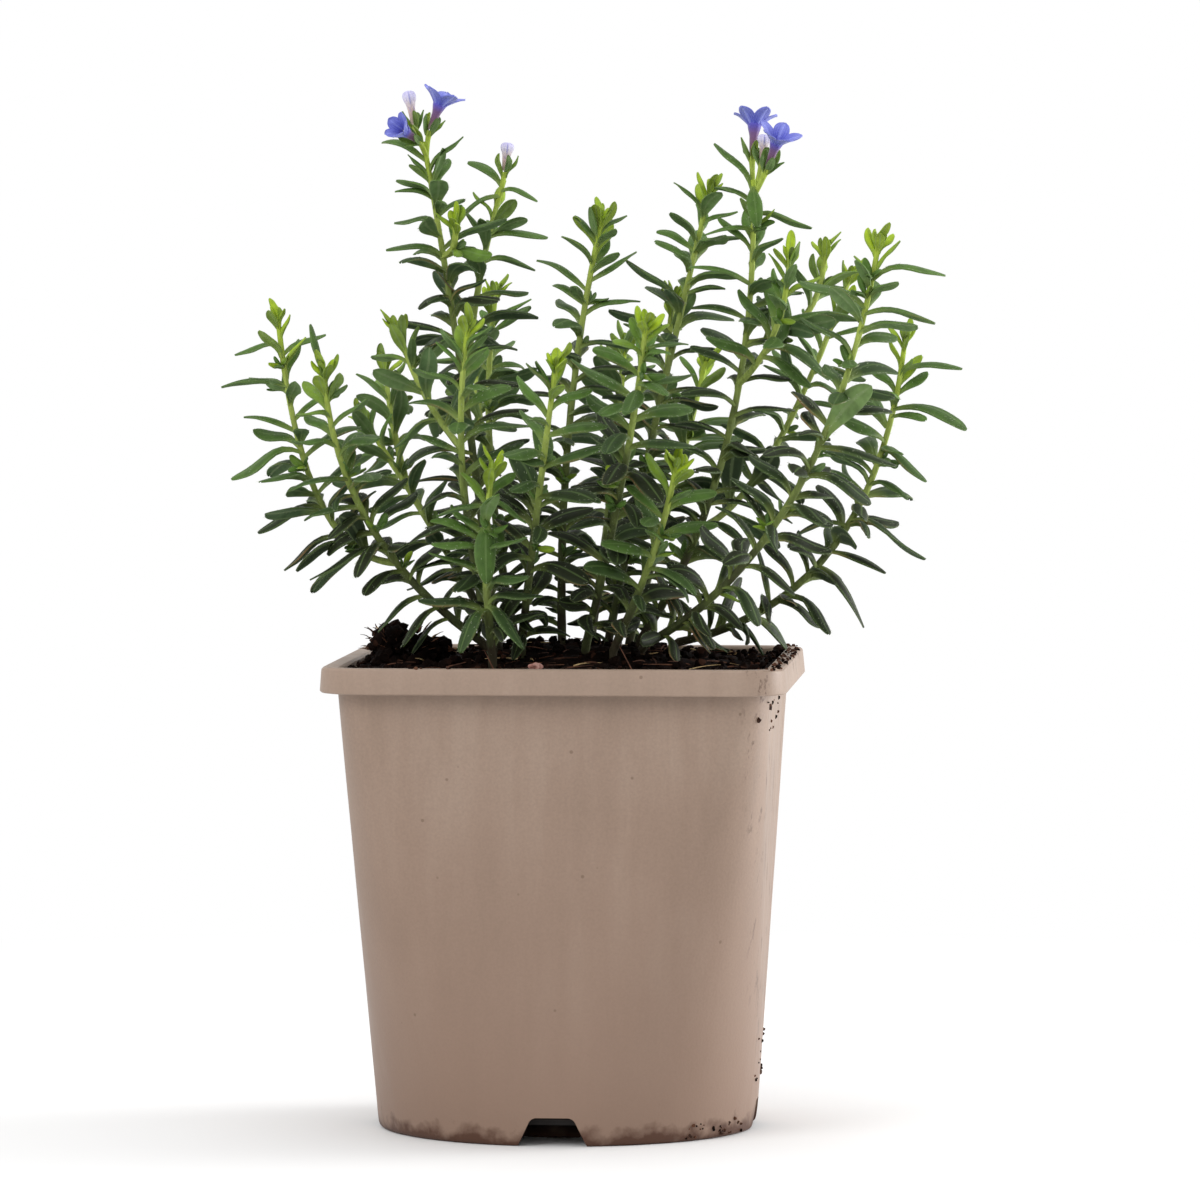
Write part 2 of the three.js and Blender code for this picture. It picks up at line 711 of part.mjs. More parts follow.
function growPlant() {
  const corollas = blooms.map((bloom) => ({ bloom, solid: corollaSolid(bloom) }));
  const bodies = stemShoots.map((shoots) => shoots.map((shoot) => shootSolid(shoot)));
  const obstacles = [obstacle(pot, null), obstacle(soil, null)];
  stemShoots.forEach((shoots) => shoots.forEach((shoot) => {
    obstacles.push(obstacle(shootSolid(shoot, gap), shoot));
  }));
  corollas.forEach(({ solid }) => obstacles.push(obstacle(solid, null)));
  const shares = stems.map(() => []);
  for (const bloom of blooms) {
    const [index, side] = bloom.on;
    const parts = calyxSolids(bloom, stemShoots[index][side ? side + 1 : 0]);
    shares[index].push(...parts);
    parts.forEach((part) => obstacles.push(obstacle(part, null)));
  }

  const add = (leaf, shoot, index) => {
    const reach = bladeSolid(leaf, 0.22, gap);
    if (!isClear(reach, obstacles, shoot)) return false;
    shares[index].push(bladeSolid(leaf));
    obstacles.push(obstacle(reach, null));
    return true;
  };
  stemShoots.forEach((shoots, index) => shoots.forEach((shoot) => {
    shoot.marked.forEach((mark) => add(markedLeaf(shoot, mark), shoot, index));
  }));
  stemShoots.forEach((shoots, index) => shoots.forEach((shoot) => {
    for (const spot of leafSpots(shoot)) {
      scales.some((scale) => turns.some((turn) => (
        add(spiralLeaf(shoot, spot, turn, scale), shoot, index)
      )));
    }
  }));
  const plants = bodies.map((parts, index) => (
    [...parts, ...shares[index]].reduce((whole, part) => whole.add(part))
  ));
  return { plants, corollas };
}

const { plants, corollas } = growPlant();
const lithodora = new THREE.Group();
lithodora.add(meshFrom('pot', pot, paints.pot));
lithodora.add(meshFrom('soil', soil, paints.soil));
lithodora.add(meshFrom('bark_chip', barkSolid(), paints.bark));
plants.forEach((plant, index) => {
  lithodora.add(meshFrom(stems[index].name, plant, paints.leaf));
});
for (const { bloom, solid } of corollas) {
  lithodora.add(meshFrom(bloom.name, solid, bloom.open > 0 ? paints.petal : paints.bud));
}

export default lithodora;
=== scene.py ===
import math
import bmesh
import bpy
from mathutils import Matrix, Vector, kdtree, noise


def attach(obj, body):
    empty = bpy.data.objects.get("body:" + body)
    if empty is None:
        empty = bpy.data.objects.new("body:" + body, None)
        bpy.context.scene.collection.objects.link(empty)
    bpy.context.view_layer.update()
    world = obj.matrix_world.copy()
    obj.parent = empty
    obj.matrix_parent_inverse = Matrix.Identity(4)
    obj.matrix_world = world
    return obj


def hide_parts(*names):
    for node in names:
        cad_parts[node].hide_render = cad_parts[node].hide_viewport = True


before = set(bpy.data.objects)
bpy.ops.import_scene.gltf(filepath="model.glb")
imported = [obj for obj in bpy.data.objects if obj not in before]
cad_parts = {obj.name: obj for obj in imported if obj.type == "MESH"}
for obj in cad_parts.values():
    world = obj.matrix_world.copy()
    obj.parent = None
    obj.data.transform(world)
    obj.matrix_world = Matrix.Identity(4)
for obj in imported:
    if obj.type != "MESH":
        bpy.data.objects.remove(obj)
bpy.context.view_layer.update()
print("frame loaded")

# Everything is worked out in mm, in the frame of the CAD, and scaled to metres when a piece is finished.
# X runs to the right, Y to the back, Z up; the origin is the middle of the pot's underside.
up = Vector((0, 0, 1))
back = Vector((0, 1, 0))


def mix(low, high, share):
    return low + (high - low) * share


def clamp(value, low=0.0, high=1.0):
    return min(high, max(low, value))


def smooth(value):
    share = clamp(value)
    return share * share * (3 - 2 * share)


def dice(seed):
    # a repeatable draw of numbers from 0 to 1, the same one as in the solids' own source
    state = 7919 * (seed + 1)

    def draw():
        nonlocal state
        state = state * 16807 % 2147483647
        return state / 2147483647

    return draw


def linear(hexColour):
    # sRGB hex to the linear colour that the shader works in
    parts = [int(hexColour[i:i + 2], 16) / 255 for i in (1, 3, 5)]
    return tuple(p / 12.92 if p <= 0.04045 else ((p + 0.055) / 1.055) ** 2.4 for p in parts) + (1.0,)


def addNode(tree, kind, sockets=None, **settings):
    # A socket's value is a number or colour, or another node's output to link. Sockets that share a name are
    # given by number: a colour Mix has 0 share, 6 and 7 colours; a Map Range 0 value, 1-2 from, 3-4 to.
    node = tree.nodes.new(kind)
    for key, value in settings.items():
        setattr(node, key, value)
    for key, value in (sockets or {}).items():
        if isinstance(value, bpy.types.NodeSocket):
            tree.links.new(value, node.inputs[key])
        else:
            node.inputs[key].default_value = value
    return node


def setStops(ramp, stops):
    elements = ramp.color_ramp.elements
    while len(elements) < len(stops):
        elements.new(0.5)
    for element, (place, colour) in zip(elements, stops):
        element.position = place
        element.color = linear(colour) if isinstance(colour, str) else (colour, colour, colour, 1)
    return ramp.outputs["Color"]


def newMaterial(name, **values):
    # values are the shader's own sockets, set by name
    material = bpy.data.materials.new(name)
    material.use_nodes = True
    tree = material.node_tree
    shader = tree.nodes["Principled BSDF"]
    for key, value in values.items():
        shader.inputs[key.replace("_", " ")].default_value = value
    return material, tree, shader


def perMetre(sizeInMm):
    # scale of a noise whose patches are about this big
    return 1000 / sizeInMm


potFinish = {
    # patch sizes in mm; the real grain is 0.2 mm, too fine to show, so it is drawn coarser
    "clouds": 45, "streaks": 7, "grain": 0.7, "specks": 9, "mudEdge": 5, "smears": 3.5,
    # the lower wall colour on this line is painted shade towards the foot
    # the rim colour on this line is a painted highlight
    "wall": ("#877364", "#8f7a6b", "#978374"), "shadedLowerWall": "#836b5c", "rim": "#a08d7e", "mud": "#4c3022",
    # the nearly black colour on this line is painted shade for the drainage channel
    "speck": "#5b4636", "channelShade": "#17100c", "smear": "#4b3427",
}


def makePotPlastic():
    # injection moulded recycled polypropylene: taupe, matte, a fine spark-eroded grain, faint cloudy flow marks,
    # and a rusty line of dried compost where the foot stood in wet trays
    material, tree, shader = newMaterial("mouldedTaupePolypropylene", IOR=1.49, Specular_IOR_Level=0.3)
    spot = addNode(tree, "ShaderNodeTexCoord").outputs["Object"]
    apart = addNode(tree, "ShaderNodeSeparateXYZ", {0: spot}).outputs
    clouds = addNode(tree, "ShaderNodeTexNoise",
                     {"Vector": spot, "Scale": perMetre(potFinish["clouds"]), "Detail": 3.0})
    stretched = addNode(tree, "ShaderNodeMapping", {"Vector": spot, "Scale": (1.0, 1.0, 0.12)})
    streaks = addNode(tree, "ShaderNodeTexNoise",
                      {"Vector": stretched.outputs[0], "Scale": perMetre(potFinish["streaks"]), "Detail": 4.0,
                       "Roughness": 0.6})
    grain = addNode(tree, "ShaderNodeTexNoise",
                    {"Vector": spot, "Scale": perMetre(potFinish["grain"]), "Detail": 2.0})
    blend = addNode(tree, "ShaderNodeMath", {0: clouds.outputs[0], 1: streaks.outputs[0]}, operation="ADD")
    halved = addNode(tree, "ShaderNodeMath", {0: blend.outputs[0], 1: 0.5}, operation="MULTIPLY")
    base = setStops(addNode(tree, "ShaderNodeValToRGB", {"Fac": halved.outputs[0]}),
                    list(zip((0.34, 0.5, 0.66), potFinish["wall"])))
    fine = setStops(addNode(tree, "ShaderNodeValToRGB", {"Fac": grain.outputs[0]}), [(0.3, 0.94), (0.7, 1.05)])
    grained = addNode(tree, "ShaderNodeMix", {0: 1.0, 6: base, 7: fine}, data_type="RGBA", blend_type="MULTIPLY")
    height = apart["Z"]
    # the rim is painted a shade paler than the wall, a painted highlight where the rim catches more light
    paintedRimHighlight = addNode(tree, "ShaderNodeMapRange", {0: height, 1: 0.1085, 2: 0.1095, 3: 0.0, 4: 0.25})
    rimHighlighted = addNode(tree, "ShaderNodeMix",
                     {0: paintedRimHighlight.outputs[0], 6: grained.outputs[2], 7: linear(potFinish["rim"])}, data_type="RGBA")
    # lower half painted a touch darker and browner, painted shade where less light reaches towards the foot, then the
    # dried line in the last 3 mm
    tone = addNode(tree, "ShaderNodeMapRange", {0: height, 1: 0.0, 2: 0.1, 3: 0.9, 4: 0.0})
    lowShaded = addNode(tree, "ShaderNodeMix",
                     {0: tone.outputs[0], 6: rimHighlighted.outputs[2], 7: linear(potFinish["shadedLowerWall"])},
                     data_type="RGBA")
    ragged = addNode(tree, "ShaderNodeTexNoise",
                     {"Vector": spot, "Scale": perMetre(potFinish["mudEdge"]), "Detail": 6.0})
    lift = addNode(tree, "ShaderNodeMath", {0: ragged.outputs[0], 1: 0.012}, operation="MULTIPLY")
    level = addNode(tree, "ShaderNodeMath", {0: height, 1: lift.outputs[0]}, operation="SUBTRACT")
    foot = addNode(tree, "ShaderNodeMapRange", {0: level.outputs[0], 1: -0.0048, 2: -0.0014, 3: 0.95, 4: 0.0})
    muddy = addNode(tree, "ShaderNodeMix",
                    {0: foot.outputs[0], 6: lowShaded.outputs[2], 7: linear(potFinish["mud"])}, data_type="RGBA")
    specks = addNode(tree, "ShaderNodeTexVoronoi", {"Vector": spot, "Scale": perMetre(potFinish["specks"])})
    dots = addNode(tree, "ShaderNodeMapRange", {0: specks.outputs["Distance"], 1: 0.035, 2: 0.06, 3: 0.5, 4: 0.0})
    speckled = addNode(tree, "ShaderNodeMix",
                       {0: dots.outputs[0], 6: muddy.outputs[2], 7: linear(potFinish["speck"])}, data_type="RGBA")
    # painted shade: the drainage channel under the raised floor, seen through the notches, is painted nearly black
    # for the shadow in it
    plan = addNode(tree, "ShaderNodeMapping", {"Vector": spot, "Scale": (1.0, 1.0, 0.0)})
    radius = addNode(tree, "ShaderNodeVectorMath", {0: plan.outputs[0]}, operation="LENGTH").outputs["Value"]
    inside = addNode(tree, "ShaderNodeMapRange", {0: radius, 1: 0.0455, 2: 0.0445, 3: 0.0, 4: 1.0})
    outside = addNode(tree, "ShaderNodeMapRange", {0: radius, 1: 0.0275, 2: 0.029, 3: 0.0, 4: 1.0})
    low = addNode(tree, "ShaderNodeMapRange", {0: height, 1: 0.0055, 2: 0.0105, 3: 1.0, 4: 0.0})
    ring = addNode(tree, "ShaderNodeMath", {0: inside.outputs[0], 1: outside.outputs[0]}, operation="MULTIPLY")
    channelShade = addNode(tree, "ShaderNodeMath", {0: ring.outputs[0], 1: low.outputs[0]}, operation="MULTIPLY")
    channelShaded = addNode(tree, "ShaderNodeMix",
                      {0: channelShade.outputs[0], 6: speckled.outputs[2], 7: linear(potFinish["channelShade"])},
                      data_type="RGBA")
    # compost smeared down the right-hand side when the pot was filled
    onRight = addNode(tree, "ShaderNodeMapRange", {0: apart["X"], 1: 0.0455, 2: 0.049, 3: 0.0, 4: 1.0})
    run = addNode(tree, "ShaderNodeMapping", {"Vector": spot, "Scale": (1.0, 1.0, 0.35)})
    smear = addNode(tree, "ShaderNodeTexNoise",
                    {"Vector": run.outputs[0], "Scale": perMetre(potFinish["smears"]), "Detail": 7.0,
                     "Roughness": 0.75})
    smeared = addNode(tree, "ShaderNodeMapRange", {0: smear.outputs[0], 1: 0.56, 2: 0.62, 3: 0.0, 4: 0.7})
    dirt = addNode(tree, "ShaderNodeMath", {0: onRight.outputs[0], 1: smeared.outputs[0]}, operation="MULTIPLY")
    dirty = addNode(tree, "ShaderNodeMix",
                    {0: dirt.outputs[0], 6: channelShaded.outputs[2], 7: linear(potFinish["smear"])}, data_type="RGBA")
    tree.links.new(dirty.outputs[2], shader.inputs["Base Color"])
    rough = addNode(tree, "ShaderNodeMapRange", {0: streaks.outputs[0], 1: 0.3, 2: 0.7, 3: 0.42, 4: 0.58})
    tree.links.new(rough.outputs[0], shader.inputs["Roughness"])
    relief = addNode(tree, "ShaderNodeBump", {"Height": grain.outputs[0], "Strength": 0.35, "Distance": 0.0001})
    tree.links.new(relief.outputs[0], shader.inputs["Normal"])
    return material


def makePeat():
    # damp sphagnum peat with bark fines: nearly black, fibrous, no shine but for a few wet glints
    material, tree, shader = newMaterial("dampPeatCompost", IOR=1.33, Specular_IOR_Level=0.1)
    spot = addNode(tree, "ShaderNodeTexCoord").outputs["Object"]
    lumps = addNode(tree, "ShaderNodeTexNoise",
                    {"Vector": spot, "Scale": perMetre(5), "Detail": 8.0, "Roughness": 0.7})
    flakes = addNode(tree, "ShaderNodeTexVoronoi", {"Vector": spot, "Scale": perMetre(1.6)})
    dark = setStops(addNode(tree, "ShaderNodeValToRGB", {"Fac": lumps.outputs[0]}),
                    [(0.38, "#090403"), (0.52, "#120906"), (0.66, "#24130d"), (0.8, "#40251b")])
    picked = addNode(tree, "ShaderNodeMapRange", {0: flakes.outputs["Color"], 1: 0.86, 2: 0.97, 3: 0.0, 4: 0.5})
    colour = addNode(tree, "ShaderNodeMix", {0: picked.outputs[0], 6: dark, 7: linear("#6b4636")},
                     data_type="RGBA")
    tree.links.new(colour.outputs[2], shader.inputs["Base Color"])
    rough = addNode(tree, "ShaderNodeMapRange", {0: lumps.outputs[0], 1: 0.3, 2: 0.7, 3: 0.95, 4: 0.75})
    tree.links.new(rough.outputs[0], shader.inputs["Roughness"])
    relief = addNode(tree, "ShaderNodeBump", {"Height": lumps.outputs[0], "Strength": 0.9, "Distance": 0.0012})
    tree.links.new(relief.outputs[0], shader.inputs["Normal"])
    return material


def makeFibre(name, dark, pale):
    # dry plant fibre, or an anther's pollen sacs: matte and streaked
    material, tree, shader = newMaterial(name, Roughness=0.85, Specular_IOR_Level=0.2)
    spot = addNode(tree, "ShaderNodeTexCoord").outputs["Object"]
    streak = addNode(tree, "ShaderNodeTexNoise", {"Vector": spot, "Scale": perMetre(2.5), "Detail": 5.0})
    colour = setStops(addNode(tree, "ShaderNodeValToRGB", {"Fac": streak.outputs[0]}), [(0.35, dark), (0.65, pale)])
    tree.links.new(colour, shader.inputs["Base Color"])
    relief = addNode(tree, "ShaderNodeBump", {"Height": streak.outputs[0], "Strength": 0.5, "Distance": 0.0003})
    tree.links.new(relief.outputs[0], shader.inputs["Normal"])
    return material


# "greens" run from the unopened leaf at the shoot's tip to the old one at its foot; "ribWidth" is a share of half
# the leaf's width
leafFinish = {
    "upperSide": {"greens": ("#94ad24", "#4f6f2b", "#2e4120", "#202713"), "rib": "#667e48", "ribWidth": 0.14,
                  "dryEdge": "#7d5a3c", "roughness": 0.58},
    "underside": {"greens": ("#8aa03a", "#6a8450", "#4c6442", "#3a4832"), "rib": "#84956a", "ribWidth": 0.2,
                  "dryEdge": "#8a5f48", "roughness": 0.7},
}


def makeLeaf(name, finish):
    # hairy evergreen leaf: matte from its felt of short hairs, a paler rib, and a thin dry-brown margin in places;
    # "age" runs from the shoot's tip (0) to its foot (1), "across" from margin to margin, "along" from base to tip
    material, tree, shader = newMaterial(name, IOR=1.45, Specular_IOR_Level=0.22)
    spot = addNode(tree, "ShaderNodeTexCoord").outputs["Object"]
    age = addNode(tree, "ShaderNodeAttribute", attribute_name="age").outputs["Fac"]
    tone = addNode(tree, "ShaderNodeAttribute", attribute_name="tone").outputs["Fac"]
    across = addNode(tree, "ShaderNodeAttribute", attribute_name="across").outputs["Fac"]
    along = addNode(tree, "ShaderNodeAttribute", attribute_name="along").outputs["Fac"]
    mottle = addNode(tree, "ShaderNodeTexNoise", {"Vector": spot, "Scale": perMetre(2.2), "Detail": 5.0})
    # the felt's hairs are finer than this, too fine to show, so they are drawn coarser
    felt = addNode(tree, "ShaderNodeTexNoise", {"Vector": spot, "Scale": perMetre(0.35), "Detail": 2.0})
    shifted = addNode(tree, "ShaderNodeMapRange", {0: tone, 1: 0.0, 2: 1.0, 3: -0.14, 4: 0.14})
    aged = addNode(tree, "ShaderNodeMath", {0: age, 1: shifted.outputs[0]}, operation="ADD")
    green = setStops(addNode(tree, "ShaderNodeValToRGB", {"Fac": aged.outputs[0]}),
                     list(zip((0.02, 0.22, 0.8, 1.0), finish["greens"])))
    shade = setStops(addNode(tree, "ShaderNodeValToRGB", {"Fac": mottle.outputs[0]}), [(0.3, 0.78), (0.7, 1.2)])
    mottled = addNode(tree, "ShaderNodeMix", {0: 1.0, 6: green, 7: shade}, data_type="RGBA", blend_type="MULTIPLY")
    aside = addNode(tree, "ShaderNodeMath", {0: across}, operation="ABSOLUTE").outputs[0]
    ribWidth, ribColour = finish["ribWidth"], linear(finish["rib"])
    ribFade = addNode(tree, "ShaderNodeMapRange", {0: aside, 1: 0.4 * ribWidth, 2: ribWidth, 3: 0.42, 4: 0.0})
    ribbed = addNode(tree, "ShaderNodeMix", {0: ribFade.outputs[0], 6: mottled.outputs[2], 7: ribColour},
                     data_type="RGBA")
    felted = addNode(tree, "ShaderNodeMapRange", {0: aside, 1: 0.8, 2: 1.0, 3: 0.0, 4: 0.38})
    pale = addNode(tree, "ShaderNodeMix", {0: felted.outputs[0], 6: ribbed.outputs[2], 7: ribColour},
                   data_type="RGBA")
    margin = addNode(tree, "ShaderNodeMapRange", {0: aside, 1: 0.88, 2: 1.0, 3: 0.0, 4: 1.0})
    patches = addNode(tree, "ShaderNodeTexNoise", {"Vector": spot, "Scale": perMetre(14), "Detail": 2.0})
    dry = addNode(tree, "ShaderNodeMapRange", {0: patches.outputs[0], 1: 0.56, 2: 0.68, 3: 0.0, 4: 0.65})
    onOld = addNode(tree, "ShaderNodeMath", {0: dry.outputs[0], 1: age}, operation="MULTIPLY", use_clamp=True)
    marginShare = addNode(tree, "ShaderNodeMath", {0: margin.outputs[0], 1: onOld.outputs[0]}, operation="MULTIPLY")
    edged = addNode(tree, "ShaderNodeMix",
                    {0: marginShare.outputs[0], 6: pale.outputs[2], 7: linear(finish["dryEdge"])}, data_type="RGBA")
    basal = addNode(tree, "ShaderNodeMapRange", {0: along, 1: 0.0, 2: 0.22, 3: 0.55, 4: 0.0})
    based = addNode(tree, "ShaderNodeMix", {0: basal.outputs[0], 6: edged.outputs[2], 7: linear("#8fa052")},
                    data_type="RGBA")
    tree.links.new(based.outputs[2], shader.inputs["Base Color"])
    roughness = finish["roughness"]
    rough = addNode(tree, "ShaderNodeMapRange",
                    {0: mottle.outputs[0], 1: 0.3, 2: 0.7, 3: roughness - 0.08, 4: roughness + 0.08})
    tree.links.new(rough.outputs[0], shader.inputs["Roughness"])
    relief = addNode(tree, "ShaderNodeBump", {"Height": felt.outputs[0], "Strength": 0.5, "Distance": 0.0002})
    tree.links.new(relief.outputs[0], shader.inputs["Normal"])
    return material


def makeStemSkin():
    # green stem, painted darker and browner towards the soil as painted shade under the leaves, felted with pale
    # hairs
    material, tree, shader = newMaterial("feltedGreenStem", IOR=1.45, Roughness=0.7, Specular_IOR_Level=0.2)
    spot = addNode(tree, "ShaderNodeTexCoord").outputs["Object"]
    age = addNode(tree, "ShaderNodeAttribute", attribute_name="age").outputs["Fac"]
    strand = addNode(tree, "ShaderNodeMapping", {"Vector": spot, "Scale": (1.0, 1.0, 0.2)})
    ribs = addNode(tree, "ShaderNodeTexNoise", {"Vector": strand.outputs[0], "Scale": perMetre(0.8), "Detail": 4.0})
    blotch = addNode(tree, "ShaderNodeTexNoise", {"Vector": spot, "Scale": perMetre(8), "Detail": 3.0})
    spread = addNode(tree, "ShaderNodeMapRange", {0: blotch.outputs[0], 1: 0.3, 2: 0.7, 3: -0.12, 4: 0.12})
    aged = addNode(tree, "ShaderNodeMath", {0: age, 1: spread.outputs[0]}, operation="ADD")
    # the darkest, brownest colours at the old end are painted shade at the stem's foot
    green = setStops(addNode(tree, "ShaderNodeValToRGB", {"Fac": aged.outputs[0]}),
                     [(0.0, "#9bb03c"), (0.25, "#98a852"), (0.6, "#81914a"), (0.9, "#4c5532"), (1.0, "#3a3424")])
    shade = setStops(addNode(tree, "ShaderNodeValToRGB", {"Fac": ribs.outputs[0]}), [(0.3, 0.8), (0.7, 1.18)])
    colour = addNode(tree, "ShaderNodeMix", {0: 1.0, 6: green, 7: shade}, data_type="RGBA", blend_type="MULTIPLY")
    tree.links.new(colour.outputs[2], shader.inputs["Base Color"])
    relief = addNode(tree, "ShaderNodeBump", {"Height": ribs.outputs[0], "Strength": 0.6, "Distance": 0.0003})
    tree.links.new(relief.outputs[0], shader.inputs["Normal"])
    return material


def makeHair():
    # stiff white bristles, painted with a green cast that stands in for the light from the leaves behind them
    material, tree, shader = newMaterial("paleBristle", Roughness=0.5, Specular_IOR_Level=0.3)
    spot = addNode(tree, "ShaderNodeTexCoord").outputs["Object"]
    change = addNode(tree, "ShaderNodeTexNoise", {"Vector": spot, "Scale": perMetre(6)})
    colour = setStops(addNode(tree, "ShaderNodeValToRGB", {"Fac": change.outputs[0]}),
                      [(0.35, "#8f9c78"), (0.65, "#bfc7ab")])
    tree.links.new(colour, shader.inputs["Base Color"])
    return material


def makePetal(name, stops, streak):
    # soft corolla: thin, satin, with paler or darker veins that run from the throat to the lobe's tip
    material, tree, shader = newMaterial(name, Roughness=0.55, IOR=1.4, Specular_IOR_Level=0.2, Sheen_Weight=0.25)
    spot = addNode(tree, "ShaderNodeTexCoord").outputs["Object"]
    across = addNode(tree, "ShaderNodeAttribute", attribute_name="across").outputs["Fac"]
    along = addNode(tree, "ShaderNodeAttribute", attribute_name="along").outputs["Fac"]
    # a petal's cells are about 0.05 mm, too fine to show, so they are drawn coarser
    cells = addNode(tree, "ShaderNodeTexNoise", {"Vector": spot, "Scale": perMetre(0.5), "Detail": 3.0})
    ramp = setStops(addNode(tree, "ShaderNodeValToRGB", {"Fac": along}), stops)
    aside = addNode(tree, "ShaderNodeMath", {0: across}, operation="ABSOLUTE").outputs[0]
    vein = addNode(tree, "ShaderNodeMapRange", {0: aside, 1: 0.05, 2: 0.3, 3: 0.6, 4: 0.0})
    combed = addNode(tree, "ShaderNodeMath", {0: across, 1: 22.0}, operation="MULTIPLY")
    waves = addNode(tree, "ShaderNodeMath", {0: combed.outputs[0]}, operation="SINE")
    veins = addNode(tree, "ShaderNodeMapRange", {0: waves.outputs[0], 1: 0.4, 2: 1.0, 3: 0.0, 4: 0.3})
    total = addNode(tree, "ShaderNodeMath", {0: vein.outputs[0], 1: veins.outputs[0]}, operation="MAXIMUM")
    streaked = addNode(tree, "ShaderNodeMix", {0: total.outputs[0], 6: ramp, 7: linear(streak)}, data_type="RGBA")
    shade = setStops(addNode(tree, "ShaderNodeValToRGB", {"Fac": cells.outputs[0]}), [(0.3, 0.88), (0.7, 1.1)])
    colour = addNode(tree, "ShaderNodeMix", {0: 1.0, 6: streaked.outputs[2], 7: shade},
                     data_type="RGBA", blend_type="MULTIPLY")
    tree.links.new(colour.outputs[2], shader.inputs["Base Color"])
    relief = addNode(tree, "ShaderNodeBump", {"Height": cells.outputs[0], "Strength": 0.3, "Distance": 0.0001})
    tree.links.new(relief.outputs[0], shader.inputs["Normal"])
    return material


def makeBark():
    # a flake of pine bark: pinkish tan where freshly broken, brown in its grooves
    material, tree, shader = newMaterial("pineBarkFlake", Roughness=0.88, Specular_IOR_Level=0.2)
    spot = addNode(tree, "ShaderNodeTexCoord").outputs["Object"]
    layers = addNode(tree, "ShaderNodeTexNoise",
                     {"Vector": spot, "Scale": perMetre(1.4), "Detail": 6.0, "Distortion": 0.8})
    colour = setStops(addNode(tree, "ShaderNodeValToRGB", {"Fac": layers.outputs[0]}),
                      [(0.35, "#5e3c33"), (0.5, "#a5756a"), (0.68, "#cfa79b")])
    tree.links.new(colour, shader.inputs["Base Color"])
    relief = addNode(tree, "ShaderNodeBump", {"Height": layers.outputs[0], "Strength": 0.8, "Distance": 0.0005})
    tree.links.new(relief.outputs[0], shader.inputs["Normal"])
    return material


potPlastic = makePotPlastic()
peat = makePeat()
straw = makeFibre("dryStraw", "#8b6b45", "#d2b888")
rootFibre = makeFibre("brownPeatFibre", "#2a1912", "#61402f")
leafFace = makeLeaf("hairyLeafUpperSide", leafFinish["upperSide"])
leafUnderside = makeLeaf("hairyLeafUnderside", leafFinish["underside"])
stemSkin = makeStemSkin()
bristle = makeHair()
azurePetal = makePetal("azureCorolla", [
    (0.0, "#90805f"), (0.14, "#73474a"), (0.34, "#664068"), (0.46, "#4b3fa2"), (0.6, "#484db0"), (0.95, "#6f75c4")],
    "#949ce2")
budPetal = makePetal("closedBudCorolla", [
    (0.0, "#b3a286"), (0.35, "#c9ab9f"), (0.6, "#cdbfc2"), (0.8, "#d3cee0"), (1.0, "#b7b3d6")], "#5d62c0")
anther = makeFibre("paleAnther", "#b9ad78", "#efe9c4")
bark = makeBark()
print("materials made")


def newShape():
    # the four numbers that the leaf and petal materials read
    bm = bmesh.new()
    for layer in ("across", "along", "age", "tone"):
        bm.verts.layers.float.new(layer)
    return bm


def finishPiece(name, bm, materials, nodes, sharp=38):
    # mm to metres, smooth faces with edges kept crisp from an angle of `sharp` degrees, then handed to the frame
    bmesh.ops.scale(bm, vec=Vector((0.001, 0.001, 0.001)), verts=bm.verts)
    for face in bm.faces:
        face.smooth = True
    for edge in bm.edges:
        edge.smooth = edge.calc_face_angle(0) < math.radians(sharp)
    mesh = bpy.data.meshes.new(name)
    bm.to_mesh(mesh)
    bm.free()
    for material in materials:
        mesh.materials.append(material)
    piece = bpy.data.objects.new(name, mesh)
    bpy.context.collection.objects.link(piece)
    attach(piece, "root")
    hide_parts(*nodes)
    print(name, len(mesh.polygons), "faces")


def facesOf(verts):
    # each face once, in the same order each run
    return list(dict.fromkeys(face for vert in verts for face in vert.link_faces))


def addGrid(bm, acrossSteps, alongSteps, place, index=0):
    # a flat grid, across -1 to 1 and along 0 to 1, bent to place(across, along)
    acrossLayer = bm.verts.layers.float["across"]
    alongLayer = bm.verts.layers.float["along"]
    made = bmesh.ops.create_grid(bm, x_segments=acrossSteps, y_segments=alongSteps, size=1)["verts"]
    for vert in made:
        across, along = vert.co.x, (vert.co.y + 1) / 2
        vert[acrossLayer] = across
        vert[alongLayer] = along
        vert.co = place(across, along)
    for face in facesOf(made):
        face.material_index = index
    return made


def addSpin(bm, profile, steps):
    # turns a profile of (distance from the axis, height) all the way round and closes it
    verts = [bm.verts.new((radius, 0, height)) for radius, height in profile]
    edges = [bm.edges.new(pair) for pair in zip(verts, verts[1:])]
    bmesh.ops.spin(bm, geom=verts + edges, cent=(0, 0, 0), axis=(0, 0, 1), angle=2 * math.pi, steps=steps,
                   use_merge=True)


def addPart(bm, part):
    # appends a finished shape; nothing is ever deleted from bm itself, so its newest vertices stay last
    mesh = bpy.data.meshes.new("part")
    part.to_mesh(mesh)
    part.free()
    bm.from_mesh(mesh)
    bpy.data.meshes.remove(mesh)


